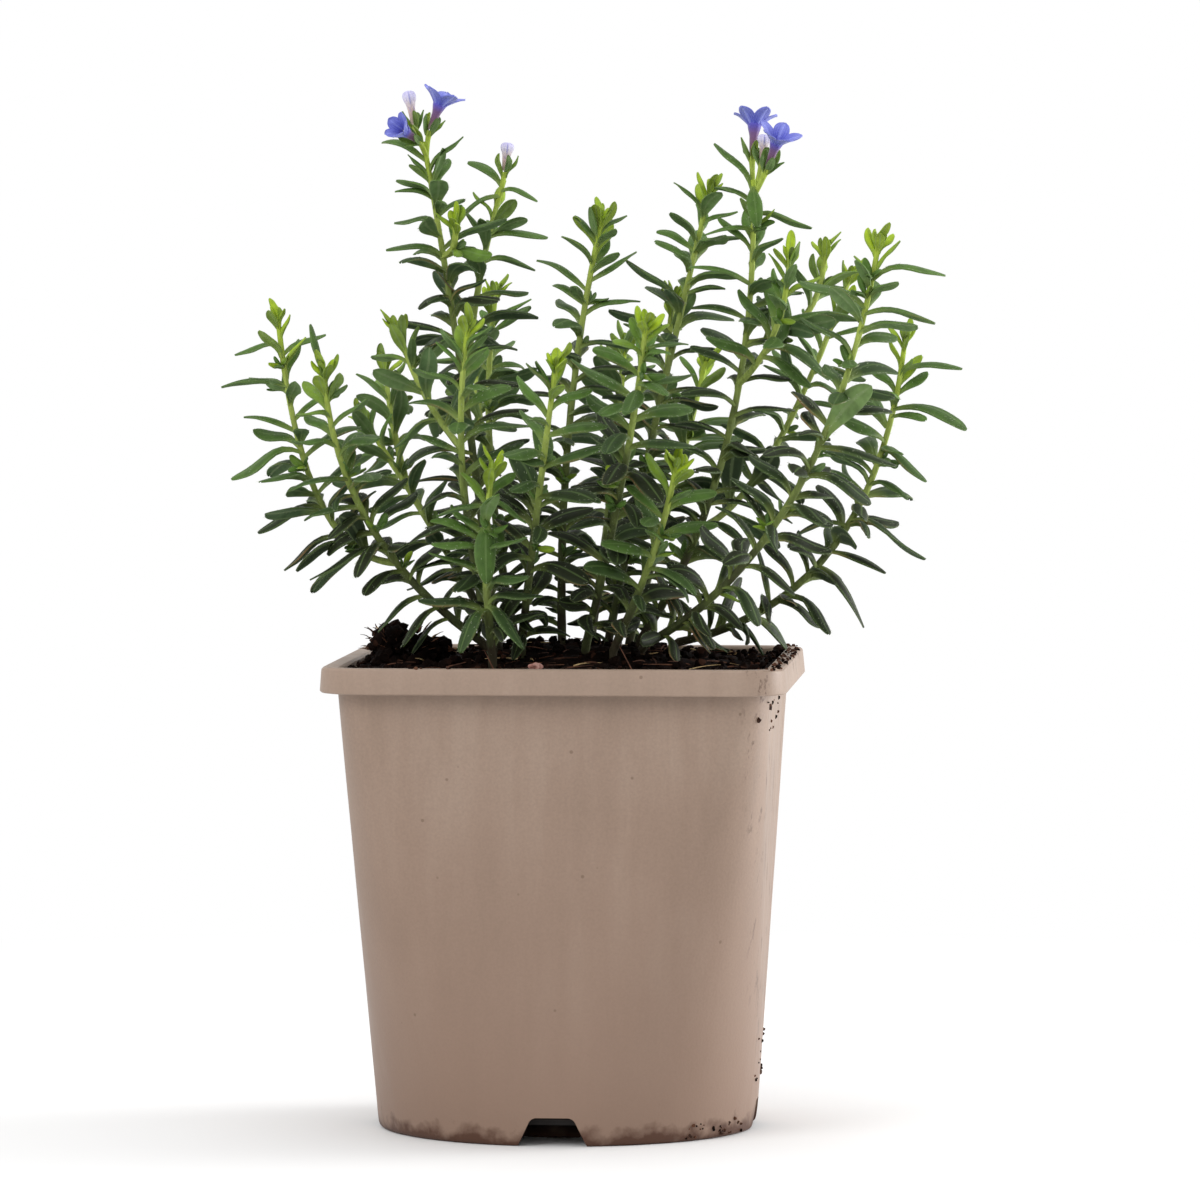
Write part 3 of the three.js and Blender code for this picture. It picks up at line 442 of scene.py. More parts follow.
def addTube(bm, sides, steps, place, index=0, ageAt=None):
    # a tube closed at both ends, its rings placed by place(angle, along)
    tube = newShape()
    verts = addGrid(tube, sides, steps, lambda across, along: place(math.pi * across, along), index)
    bmesh.ops.remove_doubles(tube, verts=verts, dist=1e-5)
    rims = [edge for edge in tube.edges if edge.is_boundary]
    for face in bmesh.ops.holes_fill(tube, edges=rims, sides=0)["faces"]:
        face.material_index = index
    bmesh.ops.recalc_face_normals(tube, faces=tube.faces)
    ageLayer, alongLayer = tube.verts.layers.float["age"], tube.verts.layers.float["along"]
    for vert in tube.verts:
        vert[ageLayer] = ageAt(vert[alongLayer]) if ageAt else 0
    addPart(bm, tube)


class Curve:
    # a quadratic Bezier curve
    def __init__(self, start, bend, end):
        self.start, self.bend, self.end = start, bend, end

    def point(self, t):
        return (1 - t) ** 2 * self.start + 2 * t * (1 - t) * self.bend + t * t * self.end

    def direction(self, t):
        return ((1 - t) * (self.bend - self.start) + t * (self.end - self.bend)).normalized()


def aroundDirection(along):
    # two directions square to this one
    across = along.cross(back).normalized()
    return across, across.cross(along)


pot = {
    "height": 116, "rimHalf": 56, "rimDrop": 6.3, "rimLip": 1.4, "bodyTopHalf": 52.5, "bodyTopCorner": 7,
    "footRadius": 46.8, "wall": 1.3, "floor": 1.4, "disc": 28, "channel": 4.5, "wallFoot": 7.5,
    "notchWidth": 16.8, "notchTop": 10.2, "notchHeight": 7, "notchCorner": 1.2, "cornerPull": 0.11,
    "sides": 128, "rings": 14,
}


def roundedSquare(angle, half, corner):
    # distance from the axis to a rounded square of this half width and corner radius
    quarter = math.pi / 2
    eighth = abs(angle - round(angle / quarter) * quarter)
    core = half - corner
    if half * math.tan(eighth) <= core:
        return half / math.cos(eighth)
    total = math.cos(eighth) + math.sin(eighth)
    difference = math.cos(eighth) - math.sin(eighth)
    return core * total + math.sqrt(max(0, corner ** 2 - (core * difference) ** 2))


def bodyHalf(height):
    return mix(pot["footRadius"], pot["bodyTopHalf"], height / pot["height"])


def potSpot(turn, half, height):
    # round at the foot, square at the rim; turn 0 is the middle of the front
    if half < 1e-6:
        return Vector((0, 0, height))
    share = clamp(height / pot["height"])
    angle = turn + pot["cornerPull"] * math.sin(4 * turn)
    bodyCorner = mix(pot["footRadius"], pot["bodyTopCorner"], share)
    corner = max(1, min(half, bodyCorner + half - bodyHalf(height)))
    radius = roundedSquare(angle, half, corner)
    return Vector((radius * math.sin(angle), -radius * math.cos(angle), height))


def potShape(bm, profile, sides):
    addSpin(bm, profile, sides)
    for vert in bm.verts:
        vert.co = potSpot(math.atan2(vert.co.x, -vert.co.y), math.hypot(vert.co.x, vert.co.y), vert.co.z)
    bmesh.ops.remove_doubles(bm, verts=bm.verts, dist=1e-4)
    bmesh.ops.recalc_face_normals(bm, faces=bm.faces)


def wallRun(inset, top, rings):
    heights = [mix(pot["wallFoot"], top, i / rings) for i in range(rings + 1)]
    return [(bodyHalf(height) - inset, height) for height in heights]


def makeNotchCutter(turn):
    bm = bmesh.new()
    wide, narrow = pot["notchWidth"] / 2, pot["notchTop"] / 2
    outline = [(-wide - 0.5, -1), (wide + 0.5, -1), (narrow, pot["notchHeight"]), (-narrow, pot["notchHeight"])]
    corners = [bm.verts.new((x, -pot["footRadius"] - 13.3, z)) for x, z in outline]
    face = bm.faces.new(corners)
    made = bmesh.ops.extrude_face_region(bm, geom=[face])["geom"]
    bmesh.ops.translate(bm, vec=(0, 20, 0), verts=[item for item in made if isinstance(item, bmesh.types.BMVert)])
    upright = [edge for edge in bm.edges
               if all(vert.co.z > 6 for vert in edge.verts) and abs(edge.verts[0].co.y - edge.verts[1].co.y) > 5]
    bmesh.ops.bevel(bm, geom=upright, offset=pot["notchCorner"], segments=4, profile=0.5, affect="EDGES", material=-1)
    bmesh.ops.rotate(bm, cent=(0, 0, 0), matrix=Matrix.Rotation(turn, 3, "Z"), verts=bm.verts)
    bmesh.ops.recalc_face_normals(bm, faces=bm.faces)
    return bm


def cutOut(bm, cutters):
    # takes each cutter out of the shape with an exact boolean
    whole = bpy.data.meshes.new("whole")
    bm.to_mesh(whole)
    body = bpy.data.objects.new("whole", whole)
    bpy.context.collection.objects.link(body)
    helpers = []
    for cutter in cutters:
        mesh = bpy.data.meshes.new("cutter")
        cutter.to_mesh(mesh)
        cutter.free()
        helper = bpy.data.objects.new("cutter", mesh)
        bpy.context.collection.objects.link(helper)
        helpers.append(helper)
        modifier = body.modifiers.new("cut", "BOOLEAN")
        modifier.operation = "DIFFERENCE"
        modifier.solver = "EXACT"
        modifier.object = helper
    bpy.context.view_layer.update()
    result = body.evaluated_get(bpy.context.evaluated_depsgraph_get()).to_mesh()
    bm.clear()
    bm.from_mesh(result)
    for leftover in [body, *helpers]:
        bpy.data.meshes.remove(leftover.data)


def makePot():
    bm = bmesh.new()
    top, lip = pot["height"], pot["height"] - pot["rimLip"]
    skirt = pot["height"] - pot["rimDrop"]
    rim, inner = pot["rimHalf"], pot["bodyTopHalf"] - pot["wall"]
    profile = [
        (0, 0), (10, 0), (pot["disc"] - 0.6, 0), (pot["disc"], 0.3), (pot["disc"] + 1.2, pot["channel"] - 0.5),
        (pot["disc"] + 1.8, pot["channel"]), (41.2, pot["channel"]), (41.6, pot["channel"] - 0.5), (42.3, 0.4),
        (42.7, 0), (pot["footRadius"] - 1.1, 0), (pot["footRadius"] - 0.5, 0.15), (pot["footRadius"] - 0.1, 0.6),
        (bodyHalf(1.4), 1.4), (bodyHalf(4), 4), *wallRun(0, lip - 1.2, pot["rings"]),
        (bodyHalf(lip) + 0.1, lip - 0.4), (bodyHalf(lip) + 0.5, lip),
        (rim - 1.5, lip), (rim - 1.2, lip - 0.4), (rim - 0.9, skirt + 0.25), (rim - 0.65, skirt),
        (rim + 0.2, skirt), (rim + 0.48, skirt + 0.25), (rim + 0.5, skirt + 0.6), (rim, top - 1.1),
        (rim - 0.15, top - 0.5), (rim - 0.6, top - 0.08), (rim - 1.1, top), (inner + 1.5, top),
        (inner + 0.7, top - 0.15), (inner + 0.15, top - 0.7), (inner, top - 1.6),
        *reversed(wallRun(pot["wall"], lip - 1.6, pot["rings"])),
        (43, pot["channel"] + pot["floor"]), (pot["disc"] + 0.1, pot["channel"] + pot["floor"]),
        (pot["disc"] - 1.4, pot["floor"]), (0, pot["floor"]),
    ]
    potShape(bm, profile, pot["sides"])
    cutOut(bm, [makeNotchCutter(quarter * math.pi / 2) for quarter in range(4)])
    finishPiece("moulded_pot", bm, [potPlastic], ["pot"], sharp=32)


makePot()


soil = {
    "gap": 0.3, "level": 114.3, "crownX": 2, "crownY": 2, "crownHeight": 5, "crownWidth": 30, "lump": 1.3,
    "lumpSize": 6, "clump": (-40.5, -7, 116.8), "clumpSpread": (10.5, 8), "clumpRise": (5.5, 8.5),
    "clumpCrumbs": 150, "crumbs": 560, "edgeCrumbs": 160, "fibres": 170, "sides": 96, "rings": 30,
}
# compost that clings to the outside: bands on the wall, given by their turn round the pot, height, number and
# largest crumb, and patches on the rim, given by x, y, their half sizes and number
stuck = {
    "bands": [((0.7, 1.35), (0.8, 4.5), 34, 0.9),     # right-hand foot
              ((1.4, 1.8), (11, 24), 16, 0.7),        # right side, low down
              ((0.8, 1.6), (100, 108.5), 16, 0.8)],   # under the rim's right corner
    "patches": [(-32, -54.8, 2, 0.5, 6), (-23.5, -54.8, 1, 0.4, 3), (54, -5, 1.4, 44, 60), (53, -52, 1.5, 1.5, 6),
                (53, 50, 1.6, 2, 10)],
    "rootHairs": [((-13.4, -49.5, 114.8), (-16.2, -49, 120.4)), ((20, -49.5, 114.8), (16.6, -49, 121.2)),
                  ((-25, -52, 116.3), (-20.4, -50, 117.4)), ((4, -50.5, 116.2), (10.5, -51, 116.9))],
    "smallest": 0.25, "onRim": 0.8, "fibrous": 0.6, "hairThick": 0.16,
}


def soilHeight(x, y):
    away = (x - soil["crownX"]) ** 2 + (y - soil["crownY"]) ** 2
    heap = soil["crownHeight"] * math.exp(-away / soil["crownWidth"] ** 2)
    return soil["level"] + heap + 0.5 * math.sin(0.37 * x + 1) * math.cos(0.31 * y)


def lumpiness(spot, size):
    return noise.fractal(spot / size, 0.9, 2.1, 4)


def addCrumb(bm, spot, radius, draw, index=0):
    # a broken crumb: a small sphere of 20 or 80 faces, squashed, turned and roughened
    made = bmesh.ops.create_icosphere(bm, subdivisions=2 if radius > 1.6 else 1, radius=radius)["verts"]
    flat = mix(0.55, 1, draw())
    turn = Matrix.Rotation(math.pi * draw(), 3, "X") @ Matrix.Rotation(2 * math.pi * draw(), 3, "Z")
    shift = Vector((97 * draw(), 53 * draw(), 11))
    for vert in made:
        rough = 1 + 0.45 * noise.noise(vert.co / radius * 1.3 + shift)
        vert.co = spot + turn @ Vector((vert.co.x, vert.co.y, vert.co.z * flat)) * rough
    for face in facesOf(made):
        face.material_index = index


def addFibre(bm, curve, thick, steps=6, index=0):
    def place(angle, along):
        direction = curve.direction(along)
        across, over = aroundDirection(direction)
        radius = thick * (1 - 0.7 * along ** 2)
        return curve.point(along) + radius * (math.cos(angle) * across + math.sin(angle) * over)
    addTube(bm, 4, steps, place, index)


def addStuckCrumb(bm, spot, largest, draw):
    addCrumb(bm, spot, mix(stuck["smallest"], largest, draw() ** 2), draw, 2 if draw() < stuck["fibrous"] else 0)


def addStuckCompost(bm, draw):
    for turns, heights, count, largest in stuck["bands"]:
        for _ in range(count):
            height = mix(*heights, draw() ** 1.5)
            addStuckCrumb(bm, potSpot(mix(*turns, draw()), bodyHalf(height), height), largest, draw)
    for x, y, wide, deep, count in stuck["patches"]:
        for _ in range(count):
            spot = Vector((x + wide * mix(-1, 1, draw()), y + deep * mix(-1, 1, draw()), pot["height"] + 0.1))
            addStuckCrumb(bm, spot, stuck["onRim"], draw)
    # single root hairs that lean on the front rim
    for start, end in stuck["rootHairs"]:
        start, end = Vector(start), Vector(end)
        addFibre(bm, Curve(start, start.lerp(end, 0.5) + 0.4 * back, end), stuck["hairThick"], index=2)


def makeSoil():
    bm = newShape()
    floor = pot["channel"] + pot["floor"] + soil["gap"]
    edge = bodyHalf(soil["level"]) - pot["wall"] - soil["gap"]
    rings = [edge * (1 - i / soil["rings"]) for i in range(soil["rings"] + 1)]
    profile = [
        (0, pot["floor"] + soil["gap"]), (pot["disc"] - 1.9, pot["floor"] + soil["gap"]),
        (pot["disc"] - 0.4, floor), (42.4, floor), *wallRun(pot["wall"] + soil["gap"], soil["level"], 6),
        *[(radius, soil["level"] + 0.1) for radius in rings[1:]],
    ]
    potShape(bm, profile, soil["sides"])
    for vert in bm.verts:
        if vert.co.z > soil["level"] - 0.01:
            # calmer within a lump's width of the wall
            inward = clamp((edge - max(abs(vert.co.x), abs(vert.co.y))) / soil["lumpSize"])
            rough = lumpiness(vert.co, soil["lumpSize"]) * soil["lump"] * mix(0.4, 1, inward)
            vert.co.z = soilHeight(vert.co.x, vert.co.y) + rough - 0.5
    draw = dice(5)
    middle = Vector(soil["clump"])
    wide, deep = soil["clumpSpread"]
    lowRise, highRise = soil["clumpRise"]
    for _ in range(soil["clumpCrumbs"]):
        angle, lift, size = 2 * math.pi * draw(), draw(), draw()
        out = Vector((math.cos(angle), math.sin(angle), mix(-0.3, 1.6, lift))).normalized()
        rise = highRise if out.x < 0.3 else lowRise
        spot = middle + Vector((out.x * wide + 1.5, out.y * deep, out.z * rise)) * mix(0.5, 1.0, draw())
        addCrumb(bm, spot, mix(0.8, 2.5, size ** 2), draw)
    for _ in range(soil["crumbs"]):
        x, y = mix(-50, 50, draw()), mix(-50, 50, draw())
        size = mix(0.5, 1.9, draw() ** 3)
        addCrumb(bm, Vector((x, y, soilHeight(x, y) + mix(-0.3, 0.9, draw()))), size, draw)
    for _ in range(soil["edgeCrumbs"]):
        # crumbs that have slid against the wall
        side, reach = int(4 * draw() * 0.999), mix(-48, 48, draw())
        x, y = [(reach, -49.4), (reach, 49.4), (-49.4, reach), (49.4, reach)][side]
        addCrumb(bm, Vector((x, y, soilHeight(x, y) + mix(0, 0.8, draw()))), mix(0.5, 1.3, draw() ** 2), draw)
    for _ in range(soil["fibres"]):
        # loose straw and root fibre: nearly straight, lying flat, and bristling out of the clump
        angle, length = 2 * math.pi * draw(), mix(4, 11, draw())
        x, y, rise = mix(-46, 46, draw()), mix(-47, 47, draw()), mix(-0.2, 1.2, draw())
        start = Vector((x, y, soilHeight(x, y) + 0.4))
        onClump = draw() < 0.3
        if onClump:
            way = Vector((math.cos(angle), math.sin(angle), mix(0.1, 1.3, draw()))).normalized()
            start = middle + Vector((way.x * 9, way.y * 7, way.z * 7))
            end = start + way * mix(1, 3.5, draw())
        else:
            end = start + Vector((math.cos(angle) * length, math.sin(angle) * length, rise))
        end.x, end.y = clamp(end.x, -51, 51), clamp(end.y, -51, 51)
        bend = (start + end) / 2 + Vector((mix(-0.8, 0.8, draw()), mix(-0.8, 0.8, draw()), mix(0, 0.9, draw())))
        pale = draw() < (0.12 if onClump else 0.3)
        addFibre(bm, Curve(start, bend, end), mix(0.1, 0.24, draw()), index=1 if pale else 2)
    addStuckCompost(bm, draw)
    finishPiece("peat_soil", bm, [peat, straw, rootFibre], ["soil"])


makeSoil()
print("soil made")


leaf = {
    "longest": 17.5, "shortest": 7, "width": 0.255, "steps": 12, "across": 6,
    "flatLength": 15.0, "flatWidth": 3.9, "thick": 0.4, "arch": 0.62, "roll": 0.3, "groove": 0.24,
    "hairs": 56, "hairLength": 0.8, "hairThick": 0.08, "shapes": 6, "fullness": 1.2, "tipThin": 0.65,
    "solidRidge": 0.3167,  # how far the solid's leaf ends above the blade's own end
    "solidNear": 0.06,
}
stem = {
    "base": 1.1, "tip": 0.65,  # radii
    "sides": 9, "step": 2.5, "rootDepth": 9, "hairsPerMm": 2.4, "hairLength": 0.7,
}
between = {"tip": 2.3, "old": 5.7, "growAfter": 5}  # mm from one leaf to the next along a shoot
goldenTurn = math.radians(137.508)
# the sizes and turns that the solids' source tries for a leaf, in its order
tries = [(scale, turn) for scale in (1, 0.75) for turn in (0, 0.45, -0.45, 0.9, -0.9, 1.4, -1.4)]


def leafOutline(along):
    # share of the full width: narrow foot, nearly parallel sides, blunt tip
    foot = mix(0.3, 1, smooth(along / 0.55))
    end = clamp((along - 0.52) / 0.48)
    return foot * math.sqrt(max(0.004, 1 - end ** 2.6))


def addHair(bm, root, way, length, thick, index=3):
    # a stiff bristle: a closed three-sided spike
    turn = way.to_track_quat("Z", "Y").to_matrix().to_4x4()
    place = Matrix.Translation(root + 0.5 * length * way) @ turn
    made = bmesh.ops.create_cone(bm, cap_ends=True, segments=3, radius1=thick / 2, radius2=0, depth=length,
                                 matrix=place)
    for face in facesOf(made["verts"]):
        face.material_index = index


def makeLeafShape(seed):
    # a flat leaf in mm, its foot at the origin, along +Y, upper side +Z, with its bristles
    draw = dice(900 + seed)
    bm = newShape()
    wave, phase = mix(0.05, 0.16, draw()), 6 * draw()
    half = leaf["flatWidth"] / 2

    def place(across, along):
        x = across * half * leafOutline(along)
        arched = leaf["arch"] * (1 - across ** 2) - leaf["roll"] * across ** 6
        groove = leaf["groove"] * math.exp(-(across / 0.16) ** 2) * (1 - 0.6 * along)
        ripple = wave * math.sin(9 * along + phase) * across ** 2
        return Vector((x, along * leaf["flatLength"], arched * mix(0.6, 1, smooth(3 * along)) - groove + ripple))

    # rings crowd towards the tip, where the outline rounds off
    top = addGrid(bm, leaf["across"], leaf["steps"], lambda across, along: place(across, 1 - (1 - along) ** 1.7))
    faces = facesOf(top)
    if faces[0].normal.z < 0:
        bmesh.ops.reverse_faces(bm, faces=faces)
    bmesh.ops.solidify(bm, geom=faces, thickness=leaf["thick"])
    bmesh.ops.recalc_face_normals(bm, faces=bm.faces)
    for face in bm.faces:
        face.material_index = 1 if face.normal.z < -0.15 else 0
    # most bristles fringe the margins, some lie along the upper side, the rest hang from the rib below
    for _ in range(leaf["hairs"]):
        along, kind = draw(), draw()
        if kind < 0.6:
            across = 1 if draw() < 0.5 else -1
            way = Vector((across, mix(0.3, 1.2, draw()), mix(-0.4, 0.4, draw()))).normalized()
            length = leaf["hairLength"] * mix(0.5, 1, draw())
        elif kind < 0.8:
            across = mix(-0.8, 0.8, draw())
            way = Vector((mix(-0.2, 0.2, draw()), 1, mix(0.35, 0.8, draw()))).normalized()
            length = leaf["hairLength"] * mix(0.5, 0.8, draw())
        else:
            across = 0.3 * (draw() - 0.5)
            way = Vector((mix(-0.3, 0.3, draw()), 1, -mix(0.6, 1.0, draw()))).normalized()
            length = leaf["hairLength"] * mix(0.5, 0.9, draw())
        root = place(across * 0.98, mix(0.03, 0.99, along))
        if kind >= 0.8:
            root.z -= leaf["thick"]
        addHair(bm, root - 0.05 * way, way, length, leaf["hairThick"])
    # thin towards the tip, so that a leaf seen from its side ends in a point
    for vert in bm.verts:
        vert.co.z *= 1 - leaf["tipThin"] * smooth((vert.co.y / leaf["flatLength"] - 0.55) / 0.45)
    mesh = bpy.data.meshes.new("leafShape")
    bm.to_mesh(mesh)
    bm.free()
    return mesh


leafShapes = [makeLeafShape(i) for i in range(leaf["shapes"])]


def addCopy(bm, shape, place, age, tone):
    start = len(bm.verts)
    bm.from_mesh(shape)
    bm.verts.ensure_lookup_table()
    ageLayer, toneLayer = bm.verts.layers.float["age"], bm.verts.layers.float["tone"]
    for vert in bm.verts[start:]:
        vert.co = place(vert.co)
        vert[ageLayer] = age
        vert[toneLayer] = tone


def addLeaf(bm, blade, age, draw, wild=1.0):
    # bends one of the flat leaves along the blade's curve, with a twist, a sideways sweep and a curled tip
    curve, side, width = blade
    length = (curve.end - curve.bend).length + (curve.bend - curve.start).length
    wide = leaf["fullness"] * mix(0.82, 1.12, draw()) * width / leaf["flatWidth"]
    deep = mix(0.55, 1, clamp(length / leaf["longest"]))
    twist = wild * mix(-0.45, 0.45, draw())
    sweep = wild * length * mix(-0.08, 0.08, draw())
    curl, sway = length * mix(-0.18, 0.05, draw()), length * mix(-0.01, 0.05, draw())

    def place(co):
        share = co.y / leaf["flatLength"]
        held = clamp(share)
        along = curve.direction(held)
        over = side.cross(along).normalized()
        turn = twist * held
        x = co.x * wide * math.cos(turn) - co.z * deep * math.sin(turn)
        z = co.x * wide * math.sin(turn) + co.z * deep * math.cos(turn)
        x += sweep * 4 * held * (1 - held)
        z += curl * held ** 3 + sway * math.sin(2 * math.pi * held)
        return curve.point(held) + along * ((share - held) * length) + side * x + over * z

    shape = leafShapes[int(draw() * 0.999 * len(leafShapes))]
    addCopy(bm, shape, place, age, draw())


class Shoot:
    # from its foot through its knee to its tip; a side shoot has no root
    def __init__(self, foot, plan, seed, isMain):
        knee, tip = Vector(plan["knee"]), Vector(plan["tip"])
        self.curve = Curve(foot, 2 * knee - 0.5 * foot - 0.5 * tip, tip)
        self.length = (knee - foot).length + (tip - knee).length
        self.bare = plan.get("bare", 0.18 if isMain else 0.14)
        self.tipFree = plan.get("tipFree", 0.6)
        self.thick = stem["base"] * (1 if isMain else 0.8)
        self.marked = plan.get("leaves", [])
        self.seed = seed
        self.isMain = isMain

    def radius(self, t):
        return mix(self.thick, stem["tip"], t)

    def age(self, t):
        # 0 at the tip, 1 from 45 mm below it
        return clamp((1 - t) * self.length / 45)


def shootsOf(plan, index):
    main = Shoot(Vector(plan["foot"]), plan, 10 * index, True)
    sides = [Shoot(main.curve.point(side["at"]), side, 10 * index + i + 1, False)
             for i, side in enumerate(plan.get("sides", []))]
    return [main, *sides]


def leafSpots(shoot):
    # where the leaves stand, from the tip down, each with four draws
    draw = dice(shoot.seed)
    spots, below, rank = [], shoot.tipFree, 0
    while below < shoot.length * (1 - shoot.bare):
        spots.append((rank, 1 - below / shoot.length, [draw(), draw(), draw(), draw()]))
        below += mix(between["tip"], between["old"], clamp(rank / between["growAfter"]))
        rank += 1
    return spots


def spiralLeaf(shoot, rank, t, draws, turn, scale):
    # young leaves stand up at the tip, old ones spread and arch over
    along = shoot.curve.direction(t)
    across, over = aroundDirection(along)
    angle = shoot.seed + rank * goldenTurn + 0.4 * (draws[0] - 0.5) + turn
    out = math.cos(angle) * across + math.sin(angle) * over
    lean = mix(0.25, 1.02, smooth(rank / 6)) + 0.3 * (draws[1] - 0.5)
    length = scale * mix(leaf["shortest"], leaf["longest"], smooth(rank / 7)) * (0.86 + 0.28 * draws[2])
    droop = mix(-0.1, 0.7, smooth(rank / 10)) + 0.4 * (draws[3] - 0.5)
    start = math.cos(lean) * along + math.sin(lean) * out
    end = (start + 0.35 * out - droop * up).normalized()
    base = shoot.curve.point(t) + 0.2 * shoot.radius(t) * out
    bend = base + 0.5 * length * start
    return Curve(base, bend, bend + 0.5 * length * end), out.cross(along).normalized(), leaf["width"] * length


def markedLeaf(shoot, mark):
    # a leaf that the photo shows clearly rises from the stem, then arches down to its tip
    base, end = shoot.curve.point(mark["at"]), Vector(mark["tip"])
    length = (end - base).length
    bend = base.lerp(end, 0.45) + 0.16 * length * up
    if mark.get("shows") == "underside":
        # the big leaf that turns its pale back to the viewer
        return Curve(base, bend, end), (end - base).cross(back).normalized(), leaf["width"] * 1.1 * length
    return Curve(base, bend, end), (end - base).cross(up).normalized(), leaf["width"] * max(length, 12)


def isInSolid(blade, tree):
    # the solid's leaf ends in a vertex just above the blade's end; one that was left out has none
    curve, side, _ = blade
    ridge = curve.end + leaf["solidRidge"] * side.cross(curve.direction(1)).normalized()
    return tree.find(ridge)[2] < leaf["solidNear"]


def vertexTree(node):
    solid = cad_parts[node]
    tree = kdtree.KDTree(len(solid.data.vertices))
    for i, vert in enumerate(solid.data.vertices):
        tree.insert(1000 * (solid.matrix_world @ vert.co), i)
    tree.balance()
    return tree


def addShootStem(bm, shoot):
    # a green tube, a little knobbly along its length
    steps = max(4, round(shoot.length / stem["step"]))
    depth = stem["rootDepth"] if shoot.isMain else 0
    whole = shoot.length + depth
    shift = Vector((shoot.seed * 3.1, 0, 0))

    def place(angle, along):
        reach = along * whole - depth
        t = clamp(reach / shoot.length)
        across, over = aroundDirection(shoot.curve.direction(t))
        centre = shoot.curve.point(t)
        if reach < 0:
            centre = centre + reach * up
        way = math.cos(angle) * across + math.sin(angle) * over
        rough = 1 + 0.16 * noise.noise(centre / 2.6 + way * 0.8 + shift)
        return centre + shoot.radius(t) * rough * way

    # besides the stem's age, main stems darken towards their foot: painted shade under the leaves
    def ageAt(along):
        t = clamp((along * whole - depth) / shoot.length)
        return 0.55 * shoot.age(t) + (0.45 * (1 - t) if shoot.isMain else 0.12)

    addTube(bm, stem["sides"], steps, place, 2, ageAt)


def addStemHairs(bm, shoot, draw):
    hairs = newShape()
    for _ in range(int(shoot.length * stem["hairsPerMm"])):
        t, angle = draw(), 2 * math.pi * draw()
        along = shoot.curve.direction(t)
        across, over = aroundDirection(along)
        out = math.cos(angle) * across + math.sin(angle) * over
        way = (out + mix(0.3, 1.1, draw()) * along).normalized()
        root = shoot.curve.point(t) + 0.9 * shoot.radius(t) * out
        addHair(hairs, root, way, stem["hairLength"] * mix(0.6, 1.2, draw()), leaf["hairThick"])
    addPart(bm, hairs)


tipLeaf = {"count": 5, "lean": (0.12, 0.5), "length": (3.2, 6.5), "width": 0.34}


def addTipLeaves(bm, shoot, draw):
    # the unopened leaves at the growing point, bright and upright
    along = shoot.curve.direction(1)
    across, over = aroundDirection(along)
    for i in range(tipLeaf["count"]):
        share = i / (tipLeaf["count"] - 1)
        angle = shoot.seed + 1.3 - i * goldenTurn
        out = math.cos(angle) * across + math.sin(angle) * over
        lean, length = mix(*tipLeaf["lean"], share), mix(*tipLeaf["length"], share) * mix(0.9, 1.1, draw())
        start = math.cos(lean) * along + math.sin(lean) * out
        base = shoot.curve.point(1) - (0.4 + 0.5 * i) * along + 0.3 * out
        bend = base + 0.5 * length * start
        blade = Curve(base, bend, bend + 0.5 * length * (start + 0.2 * out).normalized())
        addLeaf(bm, (blade, out.cross(along).normalized(), tipLeaf["width"] * length), 0.0, draw)


sepal = {"count": 5, "length": 5.2, "width": 1.5, "bulge": 1.5, "reach": 2.2, "age": 0.18}
petal = {"length": 4.8, "width": 4.0, "thick": 0.22, "lobes": 5}
corollaTube = {"base": 0.75, "middle": 1.0, "mouth": 1.7, "wall": 0.2}
stamen = {"count": 5, "out": 0.75, "deep": 1.0, "stigmaDeep": 0.4, "radius": 0.3, "slim": 0.8, "long": 1.7}
budOutline = [  # radius in mm, share of the length
    (0, 0), (0.7, 0), (0.76, 0.08), (0.8, 0.22), (0.9, 0.38), (1.02, 0.52), (1.2, 0.62), (1.45, 0.71),
    (1.6, 0.79), (1.62, 0.85), (1.5, 0.91), (1.2, 0.96), (0.7, 0.99), (0, 1),
]


def bloomFrame(bloom):
    base, top = Vector(bloom["base"]), Vector(bloom["top"])
    along = (top - base).normalized()
    across, over = aroundDirection(along)
    return base, top, along, across, over, (top - base).length


